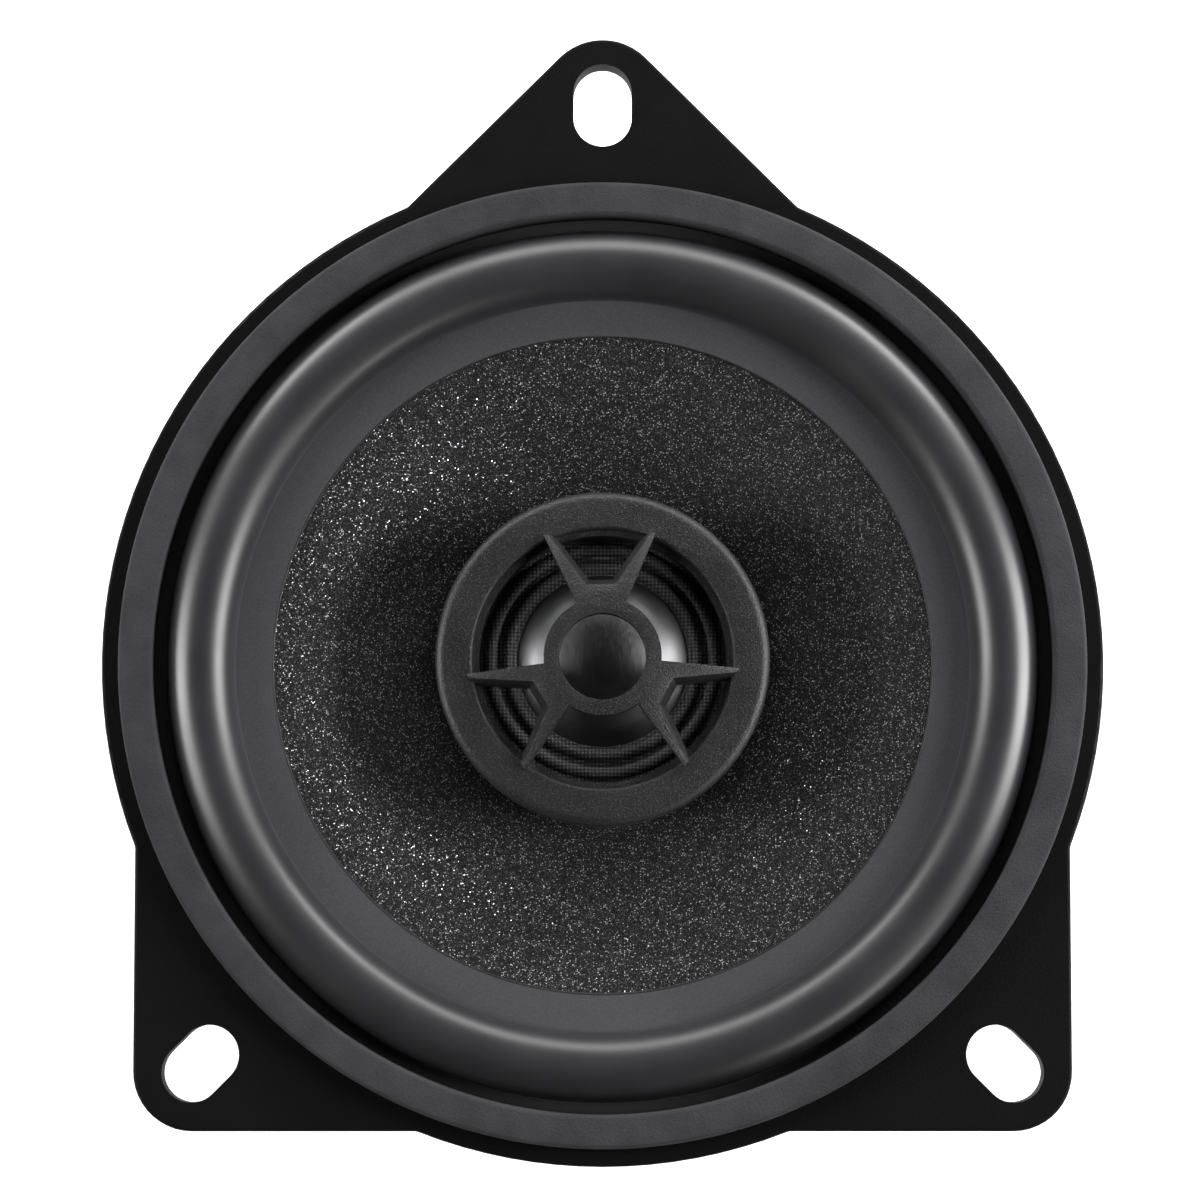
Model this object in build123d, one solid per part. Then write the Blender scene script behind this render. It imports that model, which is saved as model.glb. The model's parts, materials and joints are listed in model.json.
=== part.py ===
from build123d import *
import os
from math import cos, hypot, radians, sin, tan

# A two-way coaxial car speaker of the 100 mm class, in millimetres.
# The origin is on the axis, at the rear face of the mounting flange. +Z is the side
# that plays, +Y points to the single top ear, and the magnet lies at -Z.
# Outlines that are turned about the axis are written as (radius, height) corners.

# ---- Flange ----
flange_r = 57.7  # round part of the outline
flange_t = 3.9
slot_pcd_r = 65.0  # from the axis to the middle of each slot
slot_w = 6.8
slot_l = 9.7  # the long way of a slot is radial
slot_angles = (90, 225, 315)
ear_flank_deg = 45
ear_tip_r = 7.1
ear_tip_y = 65.7  # middle of the top ear's rounded tip
ear_foot_half = 30.0  # the ear's flanks end inside the round outline
corner_half = 53.65  # from the axis to the sides of the two lower ears
corner_r = 6.8
root_fillet = 1.2  # where an ear runs into the round outline
flange_edge = 0.4  # rounding of the front edge
lip_seat_depth = 1.9  # recess in the front face for the surround and the gasket
lip_seat_r = 54.6
throat_r = 50.0  # open passage through the flange
cutout_r = 52.5  # what stands behind the flange passes a hole of this radius

# ---- Front gasket ----
gasket_r = 55.6
gasket_bore_r = 51.7
gasket_h = 2.3  # above the flange, and just below the crest of the roll
gasket_round = 0.5
gasket_gap = 0.2  # its spigot in the recess

# ---- Surround and cone ----
rubber_t = 0.5
roll_outer_r = 50.4
roll_inner_r = 42.3
landing_inner_r = 38.1
cone_t = 0.5
cone_lip_r = 41.8
cone_lip_inner_r = 38.4
cone_depth = 13.6  # from the lip to the neck
cone_bow = 2.4  # how far the flared body stands off a straight cone
neck_h = 1.6

# ---- Voice coil ----
coil_r = 12.75  # inside of the former
former_t = 0.25
winding_t = 0.55
winding_l = 9.0
former_tail = 0.3  # bare former below the winding
former_head = 0.4  # former above the cone's neck
pole_gap = 0.4
plate_gap = 0.4
pad_size = (2.0, 2.4, 0.7)  # solder pad: along the former, from its wall out, and high
pad_angle = 21.0  # each side of the terminal's direction

# ---- Spider ----
spider_t = 0.4
spider_seat_z = -17.0
spider_r = 31.5
spider_ledge_w = 3.0
corrugations = 8  # half waves
corrugation_h = 0.8

# ---- Motor ----
motor_z = -23.5  # front of the top plate
plate_r = 33.0
plate_t = 4.0
magnet_r = 35.0
magnet_bore_r = 16.5
magnet_t = 10.0
back_plate_t = 4.0
pole_bore_r = 3.0
boot_t = 2.0
boot_gap = 0.05
boot_edge = 1.2
boot_reveal = 1.5  # bare magnet between the boot and the top plate
motor_edge = 0.6
groove_w = 2.8  # in the boot, for the tweeter's leads
groove_depth = 1.1

# ---- Basket behind the flange ----
wall_t = 2.2
hoop_h = 5.0  # height of the unbroken hoop under the flange
hoop_taper = 1.5
bowl_foot_r = 35.5
bowl_foot_z = -19.0
floor_t = 2.0
floor_bore_r = 19.0
motor_seat_r = 33.5
spoke_w = 9.0
spoke_angles = (30, 90, 150, 210, 270, 330)
terminal_angle = 270
capacitor_angle = 210
terminal_spoke_w = 27.0
window_front_z = -4.4
window_rear_z = -15.2
window_foot_r = 34.6
window_round = 2.0
rib_t = 1.8
rib_h = 2.4

# ---- Motor screws ----
screw_count = 4
screw_ring_r = 24.0
screw_r = 1.45
screw_hole_gap = 0.05
screw_head_r = 2.7
screw_head_h = 1.4
screw_l = 6.0  # below the head
screw_recess_w = 0.7  # one bar of the cross recess
screw_recess_l = 3.0
screw_recess_depth = 0.8

# ---- Terminal ----
block_size = (20.0, 4.0)
block_lip = (24.0, 6.4)
block_lip_h = 2.0
block_front = 0.5  # stands proud of its pad
block_gap = 0.1  # around the block in its pad, and between its lip and the bowl
pad_block_size = (27.0, 10.0)
pad_block_front_z = -9.0
pad_block_rear_z = -15.0
blade_t = 0.8
blade_reach = 7.5  # beyond the block's lip
blade_tab = 2.6  # on the inside, for the tinsel lead
blade_bevel = 0.3  # of the blade's thickness, on each side of its tip
wide_blade_w = 4.8
narrow_blade_w = 2.8
wide_blade_x = -5.2
narrow_blade_x = 5.2

# ---- Capacitor ----
capacitor_r = 3.15
capacitor_l = 11.0
capacitor_groove_r = 2.9  # groove near the top end
capacitor_groove_w = 0.8
cradle_l = 8.0
cradle_side = 1.1  # wall of the saddle beside the capacitor
cradle_floor = 0.6
cradle_gap = 0.05
capacitor_pitch = 2.5  # between its two leads
capacitor_wire_r = 0.3
sleeve_r = 1.0
sleeve_l = 7.0
sleeve_x = 8.5  # its near end, from the middle of the terminal

# ---- Wires ----
tinsel_r = 0.5
tinsel_run = 3.0  # straight run out of a pad or into a tab
tinsel_bend = 2.5
lead_r = 0.4
lead_pitch = 1.6
lead_bend = 0.9
lead_slack = 1.5  # a lead's rise beside the boot before it turns away
lead_run = 4.0  # straight run into a blade or a splice
blade_joint = 1.0  # a lead meets its blade this far behind the block
capacitor_wire_run = 3.5
capacitor_wire_bend = 2.0

# ---- Tweeter ----
pod_r = 17.4
pod_bore_r = 15.6
pod_front_z = 6.9
pod_shoulder_z = -3.0
pod_base_r = 10.5
pod_base_z = -7.6
pod_floor_z = -2.6
pod_fit = 0.1
channel_depth = 1.2  # in the pod's floor, for the leads
nut_well_r = 5.5
nut_well_z = -6.0
nut_af = 8.0
nut_h = 2.0
post_r = 5.0
post_spigot_r = 3.0
post_fit = 0.05
post_bore_r = 1.9
post_foot = 8.0  # length of the spigot in the pole
pot_r = 12.4
pot_floor_t = 1.6
gap_outer_r = 10.7
tweeter_plate_r = 9.6
tweeter_plate_t = 2.2
tweeter_magnet_r = 9.0
tweeter_magnet_t = 3.2
damper_r = 8.5
damper_t = 1.2
frame_t = 1.3
frame_inner_r = 13.2
frame_skirt_t = 1.3
frame_skirt_l = 2.9
frame_shelf = 1.0  # its outer ledge, behind the pot's front
frame_lap = 0.8  # over the pot's rim
frame_lap_t = 0.5
dome_r = 9.85
dome_h = 3.1
dome_t = 0.2
tweeter_coil_t = 0.2
tweeter_former_r = 9.95
tweeter_former_l = 4.3
tweeter_winding_t = 0.35
tweeter_winding_l = 3.0
cloth_t = 0.2
cloth_roll_h = 0.75
cloth_inner_roll = (10.15, 11.5)
cloth_outer_roll = (12.1, 13.6)

# ---- Tweeter bezel and its guard ----
bezel_r = 19.06
bezel_face_z = 10.4
bezel_opening_r = 14.75
bezel_lip_r = 14.1
bezel_lip_drop = 1.1
bezel_round = 1.1
bezel_inner_round = 0.45
hub_r = 6.67
hub_bore_r = 4.9
hub_front_z = 13.6
hub_t = 2.4
leg_tip_r = 15.5
leg_tip_front_z = 11.3
leg_half_deg = 24.3  # outer sides of a pair of legs
notch_root_r = 8.25
notch_root_deg = 12.3
notch_tip_deg = 27.0  # at notch_reach_r
notch_reach_r = 17.8
notch_draft_deg = 16.0
guard_angles = (91.3, 211.3, 331.3)

# ---- Heights that follow ----
lip_z = flange_t - lip_seat_depth  # where the surround's flat lips lie
gasket_front_z = flange_t + gasket_h
cone_lip_z = lip_z
neck_z = cone_lip_z - cone_depth
plate_rear_z = motor_z - plate_t
magnet_rear_z = plate_rear_z - magnet_t
back_z = magnet_rear_z - back_plate_t
boot_z = back_z - boot_t
winding_z = motor_z - plate_t / 2  # middle of the winding, in the middle of the plate
former_outer_r = coil_r + former_t
winding_r = former_outer_r + winding_t
floor_z = motor_z + floor_t
block_lip_z = pad_block_rear_z - block_lip_h
pot_front_z = pod_floor_z + pot_floor_t + tweeter_magnet_t + tweeter_plate_t
frame_front_z = pot_front_z + frame_t
boot_r = magnet_r + boot_gap + boot_t
hub_mid_r = (hub_r + hub_bore_r) / 2
bowl_top_r = cutout_r - hoop_taper
bowl_slope = (bowl_top_r - bowl_foot_r) / (-hoop_h - bowl_foot_z)
terminal_wall_r = bowl_top_r + (pad_block_rear_z + hoop_h) * bowl_slope  # bowl behind the pad
terminal_y = -(terminal_wall_r + block_gap + block_lip[1] / 2)


def turned(*corners):
    """A solid turned about the axis from the (radius, height) corners of its outline."""
    return revolve(Plane.XZ * make_face(Polyline(*corners, close=True)), Axis.Z)


def turned_curve(*edges):
    """A solid turned about the axis from the joined edges of its outline."""
    return revolve(Plane.XZ * make_face(Curve() + edges), Axis.Z)


def tube(outer_r, inner_r, rear_z, front_z):
    """A plain ring about the axis."""
    return turned((inner_r, rear_z), (outer_r, rear_z), (outer_r, front_z), (inner_r, front_z))


def disc(radius, rear_z, front_z):
    """A plain disc about the axis."""
    return Pos(0, 0, rear_z) * extrude(Circle(radius), front_z - rear_z)


def block(size, low_z, high_z, x=0.0, y=0.0):
    """A box of the given (x, y) size between two heights."""
    return Pos(x, y, (low_z + high_z) / 2) * Box(size[0], size[1], high_z - low_z)


def bowed(start, end, rise):
    """An arc from start to end whose middle stands off the straight line, to its left."""
    run = (end[0] - start[0], end[1] - start[1])
    length = hypot(*run)
    middle = (
        (start[0] + end[0]) / 2 - run[1] / length * rise,
        (start[1] + end[1]) / 2 + run[0] / length * rise,
    )
    return ThreePointArc(start, middle, end)


def on_circle(radius, degrees):
    """The point at that radius and angle."""
    return radius * cos(radians(degrees)), radius * sin(radians(degrees))


def wire(points, radius, bend):
    """A round wire along straight runs joined by arcs of one radius."""
    path = FilletPolyline(*points, radius=bend)
    start = Plane(origin=path @ 0, z_dir=path % 0)
    return sweep(start * Circle(radius), path=path)


# ---- Basket ----


def flange_outline():
    """The round flange with its top ear and two square lower ears."""
    apex_y = ear_tip_y + ear_tip_r / sin(radians(ear_flank_deg))
    foot_y = apex_y - ear_foot_half * tan(radians(ear_flank_deg))
    ear = make_face(
        Polyline(
            (0, apex_y),
            (-ear_foot_half, foot_y),
            (-ear_foot_half, 0),
            (ear_foot_half, 0),
            (ear_foot_half, foot_y),
            close=True,
        )
    )
    ear = fillet(ear.vertices().sort_by(Axis.Y)[-1], ear_tip_r)
    lower = Pos(0, -corner_half / 2) * RectangleRounded(2 * corner_half, corner_half, corner_r)
    outline = Circle(flange_r) + ear + lower
    roots = [
        v for v in outline.vertices()
        if abs(hypot(v.X, v.Y) - flange_r) < 0.01 and abs(v.Y) > 1
    ]
    return fillet(roots, root_fillet)


def mounting_slots():
    """The three radial slots, as one sketch."""
    return Sketch() + [
        Rot(0, 0, a) * Pos(slot_pcd_r, 0) * SlotOverall(slot_l, slot_w) for a in slot_angles
    ]


def bowl_wall():
    """The two ends of the bowl's sloping wall, outside and then inside."""
    top = (bowl_top_r, -hoop_h)
    foot = (bowl_foot_r, bowl_foot_z)
    run = (foot[0] - top[0], foot[1] - top[1])
    length = hypot(*run)
    inward = (run[1] / length * wall_t, -run[0] / length * wall_t)
    inner_top = (top[0] + inward[0], top[1] + inward[1])
    inner_foot = (foot[0] + inward[0], foot[1] + inward[1])
    return top, foot, inner_top, inner_foot


def bowl():
    """Hoop, sloping wall, spider ledge and motor seat, before the windows are cut."""
    top, foot, inner_top, inner_foot = bowl_wall()
    ledge_r = spider_r + pod_fit
    return turned(
        (cutout_r, lip_z),
        (cutout_r, 0),
        top,
        foot,
        (motor_seat_r, foot[1] - 1),
        (motor_seat_r, motor_z),
        (floor_bore_r, motor_z),
        (floor_bore_r, floor_z),
        (spider_r - spider_ledge_w, floor_z),
        (spider_r - spider_ledge_w, spider_seat_z),
        (ledge_r, spider_seat_z),
        (ledge_r, spider_seat_z + 2 * spider_t),
        (inner_foot[0], spider_seat_z + 2 * spider_t),
        inner_foot,
        inner_top,
        (throat_r, inner_top[1] + 1),
        (throat_r, lip_z),
    )


def window_cut():
    """The open spaces between the spokes."""
    area = Circle(flange_r) - Circle(window_foot_r)
    for angle in spoke_angles:
        width = terminal_spoke_w if angle == terminal_angle else spoke_w
        area -= Rot(0, 0, angle) * Pos(flange_r / 2, 0) * Rectangle(flange_r * 1.2, width)
    area = fillet(area.vertices(), window_round)
    return Pos(0, 0, window_rear_z) * extrude(area, window_front_z - window_rear_z)


def rib():
    """A stiffening rib on the back of a spoke, standing at angle 0."""
    top, foot, inner_top, inner_foot = bowl_wall()
    mid_top = ((top[0] + inner_top[0]) / 2, (top[1] + inner_top[1]) / 2)
    mid_foot = ((foot[0] + inner_foot[0]) / 2, (foot[1] + inner_foot[1]) / 2)
    outline = make_face(
        Polyline(
            (cutout_r - rib_h / 2, -rib_h),
            (cutout_r - rib_h / 4, -hoop_h - rib_h),
            (foot[0] + rib_h / 2, foot[1] - rib_h),
            (motor_seat_r - rib_t, motor_z + floor_t / 2),
            mid_foot,
            mid_top,
            close=True,
        )
    )
    return extrude(Plane.XZ * outline, rib_t / 2, both=True)


def capacitor_place():
    """The capacitor's frame: over the back of its spoke, X along it, Z away from the wall."""
    top, foot, _, _ = bowl_wall()
    run = (foot[0] - top[0], foot[1] - top[1])
    length = hypot(*run)
    out_r, out_z = -run[1] / length, run[0] / length
    stand = capacitor_r + cradle_floor
    middle_r = (top[0] + foot[0]) / 2 + out_r * stand
    middle_z = (top[1] + foot[1]) / 2 + out_z * stand
    radial = on_circle(1, capacitor_angle)
    return Plane(
        origin=on_circle(middle_r, capacitor_angle) + (middle_z,),
        x_dir=on_circle(1, capacitor_angle + 90) + (0,),
        z_dir=(radial[0] * out_r, radial[1] * out_r, out_z),
    )


def cradle():
    """The saddle that holds the capacitor, and the round seat to cut from it."""
    deep = capacitor_r + cradle_floor + wall_t / 2
    body = capacitor_place() * Pos(0, 0, -deep / 2) * Box(
        cradle_l, 2 * (capacitor_r + cradle_side), deep
    )
    seat = capacitor_place() * Rot(0, 90, 0) * Cylinder(capacitor_r + cradle_gap, capacitor_l)
    return body, seat


def screw_places():
    """The motor screws' places on the basket's floor."""
    return [
        Rot(0, 0, 45 + 360 / screw_count * n) * Pos(screw_ring_r, 0, floor_z)
        for n in range(screw_count)
    ]


def make_basket():
    outline = flange_outline()
    plate = extrude(outline, flange_t)
    plate = fillet(plate.faces().sort_by(Axis.Z)[-1].outer_wire().edges(), flange_edge)
    plate -= disc(throat_r, 0, flange_t)
    basket = plate + (bowl() - window_cut())
    for angle in spoke_angles:
        if angle not in (terminal_angle, capacitor_angle):
            basket += Rot(0, 0, angle) * rib()
    saddle, seat = cradle()
    basket += saddle
    basket += block(pad_block_size, pad_block_rear_z, pad_block_front_z, y=terminal_y)
    basket -= disc(lip_seat_r, lip_z, flange_t + 1)
    basket -= Pos(0, 0, -1) * extrude(mounting_slots(), flange_t + 2)
    basket -= seat
    pocket = (block_size[0] + 2 * block_gap, block_size[1] + 2 * block_gap)
    basket -= block(pocket, pad_block_rear_z - 1, window_front_z + 1, y=terminal_y)
    for place in screw_places():
        basket -= place * Cylinder(screw_r + screw_hole_gap, 4 * floor_t)
    return basket


# ---- Soft parts, cone and coil ----


def make_front_gasket():
    body = turned(
        (gasket_bore_r, lip_z + rubber_t),
        (lip_seat_r - gasket_gap, lip_z + rubber_t),
        (lip_seat_r - gasket_gap, flange_t),
        (gasket_r, flange_t),
        (gasket_r, gasket_front_z),
        (gasket_bore_r, gasket_front_z),
    )
    front = body.faces().sort_by(Axis.Z)[-1]
    return fillet(front.edges(), gasket_round)


def make_surround():
    """The outer lip, the half roll and the flat landing on the cone, in one thickness."""
    middle = (roll_outer_r + roll_inner_r) / 2
    outer = (roll_outer_r - roll_inner_r) / 2
    inner = outer - rubber_t
    top = lip_z + rubber_t
    return turned_curve(
        Line((lip_seat_r - gasket_gap, lip_z), (lip_seat_r - gasket_gap, top)),
        Line((lip_seat_r - gasket_gap, top), (middle + outer, top)),
        ThreePointArc((middle + outer, top), (middle, top + outer), (middle - outer, top)),
        Line((middle - outer, top), (landing_inner_r, top)),
        Line((landing_inner_r, top), (landing_inner_r, lip_z)),
        Line((landing_inner_r, lip_z), (middle - inner, lip_z)),
        ThreePointArc((middle - inner, lip_z), (middle, lip_z + inner), (middle + inner, lip_z)),
        Line((middle + inner, lip_z), (lip_seat_r - gasket_gap, lip_z)),
    )


def make_cone():
    """The flat lip under the surround, the flared body and the neck on the former."""
    neck_r = former_outer_r
    front_lip = (cone_lip_inner_r, cone_lip_z)
    front_neck = (neck_r + cone_t, neck_z)
    rear_lip = (cone_lip_inner_r, cone_lip_z - cone_t)
    rear_neck = (neck_r + cone_t, neck_z - cone_t)
    return turned_curve(
        Line((cone_lip_r, cone_lip_z), front_lip),
        bowed(front_lip, front_neck, -cone_bow),
        Line(front_neck, (neck_r, neck_z)),
        Line((neck_r, neck_z), (neck_r, neck_z - neck_h)),
        Line((neck_r, neck_z - neck_h), (neck_r + cone_t, neck_z - neck_h)),
        Line((neck_r + cone_t, neck_z - neck_h), rear_neck),
        bowed(rear_neck, rear_lip, cone_bow),
        Line(rear_lip, (cone_lip_r, cone_lip_z - cone_t)),
        Line((cone_lip_r, cone_lip_z - cone_t), (cone_lip_r, cone_lip_z)),
    )


def make_former():
    return tube(
        former_outer_r, coil_r, winding_z - winding_l / 2 - former_tail, neck_z + former_head
    )


def make_winding():
    return tube(winding_r, former_outer_r, winding_z - winding_l / 2, winding_z + winding_l / 2)


def make_spider():
    """A corrugated disc: rim on the basket's ledge, neck on the former."""
    rim_r = spider_r - spider_ledge_w
    neck_r = former_outer_r + 1
    step = (rim_r - neck_r) / corrugations
    upper, lower = [], []
    top_z, low_z = spider_seat_z + spider_t, spider_seat_z
    for n in range(corrugations):
        rise = corrugation_h if n % 2 else -corrugation_h
        start, end = neck_r + n * step, neck_r + (n + 1) * step
        upper.append(bowed((start, top_z), (end, top_z), rise))
        lower.append(bowed((start, low_z), (end, low_z), rise))
    return turned_curve(
        Line((former_outer_r, low_z), (former_outer_r, top_z)),
        Line((former_outer_r, top_z), (neck_r, top_z)),
        *upper,
        Line((rim_r, top_z), (spider_r, top_z)),
        Line((spider_r, top_z), (spider_r, low_z)),
        Line((spider_r, low_z), (rim_r, low_z)),
        *lower,
        Line((neck_r, low_z), (former_outer_r, low_z)),
    )


def coil_pad_places():
    """Angle of each solder pad, with the blade that its tinsel lead goes to."""
    return (
        (terminal_angle - pad_angle, wide_blade_x),
        (terminal_angle + pad_angle, narrow_blade_x),
    )


def coil_pad_z():
    """Middle height of the solder pads, on the bare former between spider and cone."""
    return (spider_seat_z + spider_t + neck_z - neck_h) / 2


def make_coil_lead_pads():
    pads = []
    along, out, high = pad_size
    for angle, _ in coil_pad_places():
        pad = Pos(former_outer_r, 0, coil_pad_z()) * Box(2 * out, along, high)
        pads.append(Rot(0, 0, angle) * pad - disc(former_outer_r, back_z, 0))
    return Compound(children=[p.solid() for p in pads])


def make_tinsel_lead(pad_direction, blade_x):
    """From a solder pad, over the spider and through the bowl to a blade's inner tab."""
    z = coil_pad_z()
    pad_tip = on_circle(former_outer_r + pad_size[1], pad_direction)
    out = on_circle(former_outer_r + pad_size[1] + tinsel_run, pad_direction)
    tab_y = terminal_y + blade_t / 2
    tab_z = pad_block_front_z + block_front + blade_tab / 2
    points = (
        pad_tip + (z,),
        out + (z,),
        (blade_x, tab_y + 5 * tinsel_run, (z + tab_z) / 2),
        (blade_x, tab_y + 2 * tinsel_run, tab_z),
        (blade_x, tab_y, tab_z),
    )
    return wire(points, tinsel_r, tinsel_bend)


# ---- Motor ----


def make_top_plate():
    plate = tube(plate_r, winding_r + plate_gap, plate_rear_z, motor_z)
    for place in screw_places():
        plate -= place * Pos(0, 0, -screw_l / 2) * Cylinder(
            screw_r + screw_hole_gap, screw_l + screw_hole_gap
        )
    return plate


def make_magnet():
    body = tube(magnet_r, magnet_bore_r, magnet_rear_z, plate_rear_z)
    return chamfer(body.edges().filter_by(GeomType.CIRCLE).group_by(SortBy.RADIUS)[-1], motor_edge)


def make_yoke():
    """Back plate and pole in one piece, with the bore for the tweeter's post."""
    pole_r = coil_r - pole_gap
    body = turned(
        (pole_bore_r, back_z),
        (plate_r - motor_edge, back_z),
        (plate_r, back_z + motor_edge),
        (plate_r, magnet_rear_z),
        (pole_r, magnet_rear_z),
        (pole_r, motor_z - motor_edge),
        (pole_r - motor_edge, motor_z),
        (pole_bore_r, motor_z),
    )
    return body


def make_magnet_boot():
    """A rubber cap over the magnet, with one groove inside for the tweeter's leads."""
    inner = magnet_r + boot_gap
    front_z = plate_rear_z - boot_reveal
    body = turned(
        (0, boot_z),
        (boot_r - boot_edge, boot_z),
        (boot_r, boot_z + boot_edge),
        (boot_r, front_z),
        (inner, front_z),
        (inner, back_z),
        (0, back_z),
    )
    floor_groove = block(
        (groove_w, inner + groove_depth), back_z - groove_depth, back_z + boot_gap,
        y=-(inner + groove_depth) / 2,
    )
    centre_groove = disc(groove_w, back_z - groove_depth, back_z + boot_gap)
    side_groove = block(
        (groove_w, 2 * groove_depth), back_z - groove_depth, front_z + 1,
        y=-inner,
    )
    return body - floor_groove - centre_groove - side_groove


def make_motor_screws():
    """Pan head screws through the basket's floor into the top plate."""
    head = disc(screw_head_r, 0, screw_head_h)
    head = fillet(head.edges().sort_by(Axis.Z)[-1], screw_head_h / 2)
    shank = disc(screw_r, -screw_l + screw_hole_gap, 0)
    bar = Box(screw_recess_l, screw_recess_w, 2 * screw_recess_depth)
    screw = head + shank - Pos(0, 0, screw_head_h) * (bar + Rot(0, 0, 90) * bar)
    return Compound(children=[(place * screw).solid() for place in screw_places()])


# ---- Terminal ----


def make_terminal_block():
    body = block(
        block_size, pad_block_rear_z, pad_block_front_z + block_front, y=terminal_y
    )
    body += block(block_lip, block_lip_z, pad_block_rear_z, y=terminal_y)
    for x, width in ((wide_blade_x, wide_blade_w), (narrow_blade_x, narrow_blade_w)):
        body -= block((width, blade_t), block_lip_z - 1, 0, x=x, y=terminal_y)
    return body


def make_blade(x, width):
    """A flat blade through the block, bevelled at its plug end."""
    tip_z = block_lip_z - blade_reach
    blade = block(
        (width, blade_t), tip_z, pad_block_front_z + block_front + blade_tab, x=x, y=terminal_y
    )
    return chamfer(blade.faces().sort_by(Axis.Z)[0].edges(), blade_bevel * blade_t)


# ---- Crossover and wires ----


def make_capacitor():
    can = turned(
        (0, -capacitor_l / 2),
        (capacitor_r, -capacitor_l / 2),
        (capacitor_r, capacitor_l / 2 - 2.5 * capacitor_groove_w),
        (capacitor_groove_r, capacitor_l / 2 - 2 * capacitor_groove_w),
        (capacitor_groove_r, capacitor_l / 2 - 1.5 * capacitor_groove_w),
        (capacitor_r, capacitor_l / 2 - capacitor_groove_w),
        (capacitor_r, capacitor_l / 2),
        (0, capacitor_l / 2),
    )
    can = fillet(can.edges().filter_by(GeomType.CIRCLE).group_by(Axis.Z)[0], capacitor_r / 6)
    return capacitor_place() * Rot(0, 90, 0) * can


def capacitor_end(side):
    """Where one of the capacitor's two leads leaves its sealed end, and a point beyond."""
    place = capacitor_place()
    half = side * capacitor_pitch / 2
    start = place.from_local_coords(Vector(capacitor_l / 2, 0, half))
    beyond = place.from_local_coords(Vector(capacitor_l / 2 + capacitor_wire_run, 0, half))
    return start, beyond


def splice_ends():
    """The two ends of the splice sleeve, tweeter's side first."""
    z = plate_rear_z + sleeve_r + boot_gap
    y = -(plate_r + sleeve_r + boot_gap)
    return (-sleeve_x, y, z), (-sleeve_x - sleeve_l, y, z)


def make_capacitor_lead_terminal():
    start, beyond = capacitor_end(-1)
    z = block_lip_z - blade_joint
    edge_x = wide_blade_x - wide_blade_w / 2
    points = (start, beyond, (edge_x - lead_run, terminal_y, z), (edge_x, terminal_y, z))
    return wire(points, capacitor_wire_r, capacitor_wire_bend)


def make_capacitor_lead_tweeter():
    start, beyond = capacitor_end(1)
    end = splice_ends()[1]
    before = (end[0] - lead_run, end[1], end[2])
    return wire((start, beyond, before, end), capacitor_wire_r, capacitor_wire_bend)


def make_splice_sleeve():
    near, far = splice_ends()
    middle = [(a + b) / 2 for a, b in zip(near, far)]
    return Pos(*middle) * Rot(0, 90, 0) * Cylinder(sleeve_r, sleeve_l)


def lead_start(side):
    """The way of a tweeter lead from the frame down through post and pole, under the boot."""
    x = side * lead_pitch / 2
    drop_r = pod_bore_r - lead_r - 2 * pod_fit
    channel_z = pod_floor_z - channel_depth / 2
    rear_z = back_z - groove_depth / 2
    wall_y = -(magnet_r + boot_gap + groove_depth / 2)
    return [
        (side * drop_r, 0, pot_front_z - frame_shelf),
        (side * drop_r, 0, channel_z),
        (x, 0, channel_z),
        (x, 0, rear_z),
        (x, wall_y, rear_z),
    ]


def make_tweeter_lead_positive():
    points = lead_start(-1)
    end = splice_ends()[0]
    x, y = points[-1][:2]
    points += [(x, y, end[2] - lead_slack), (x - lead_run / 2, end[1], end[2]), end]
    return wire(points, lead_r, lead_bend)


def make_tweeter_lead_negative():
    points = lead_start(1)
    x, y = points[-1][:2]
    z = block_lip_z - blade_joint
    tab_y = terminal_y + blade_t / 2
    points += [
        (x, y, motor_z - lead_slack),
        (narrow_blade_x, tab_y + lead_run, z),
        (narrow_blade_x, tab_y, z),
    ]
    return wire(points, lead_r, lead_bend)


# ---- Tweeter ----


def make_tweeter_post():
    """A hollow stem: foot in the pole's bore, threaded head through the pod's floor."""
    head_z = nut_well_z + nut_h
    return turned(
        (post_bore_r, motor_z - post_foot),
        (pole_bore_r - post_fit, motor_z - post_foot),
        (pole_bore_r - post_fit, motor_z),
        (post_r, motor_z),
        (post_r, pod_base_z),
        (post_spigot_r - post_fit, pod_base_z),
        (post_spigot_r - post_fit, head_z),
        (post_bore_r, head_z),
    )


def make_post_nut():
    hexagon = RegularPolygon(nut_af / 2, 6, major_radius=False) - Circle(post_spigot_r)
    return Pos(0, 0, nut_well_z) * extrude(hexagon, nut_h)


def make_tweeter_housing():
    body = turned(
        (post_spigot_r, pod_base_z),
        (pod_base_r, pod_base_z),
        (pod_r, pod_shoulder_z),
        (pod_r, pod_front_z),
        (pod_bore_r, pod_front_z),
        (pod_bore_r, pod_floor_z),
        (nut_well_r, pod_floor_z),
        (nut_well_r, nut_well_z),
        (post_spigot_r, nut_well_z),
    )
    channel = (2 * (pod_bore_r - pod_fit), 3 * lead_r)
    return body - block(channel, pod_floor_z - channel_depth, pod_floor_z)


def make_tweeter_yoke():
    return turned(
        (0, pod_floor_z),
        (pot_r, pod_floor_z),
        (pot_r, pot_front_z),
        (gap_outer_r, pot_front_z),
        (gap_outer_r, pod_floor_z + pot_floor_t),
        (0, pod_floor_z + pot_floor_t),
    )


def make_tweeter_magnet():
    rear = pod_floor_z + pot_floor_t
    return disc(tweeter_magnet_r, rear, rear + tweeter_magnet_t)


def make_tweeter_pole_plate():
    return disc(tweeter_plate_r, pot_front_z - tweeter_plate_t, pot_front_z)


def make_tweeter_damper():
    pad = disc(damper_r, pot_front_z, pot_front_z + damper_t)
    return fillet(pad.edges().sort_by(Axis.Z)[-1], damper_t / 2)


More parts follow.
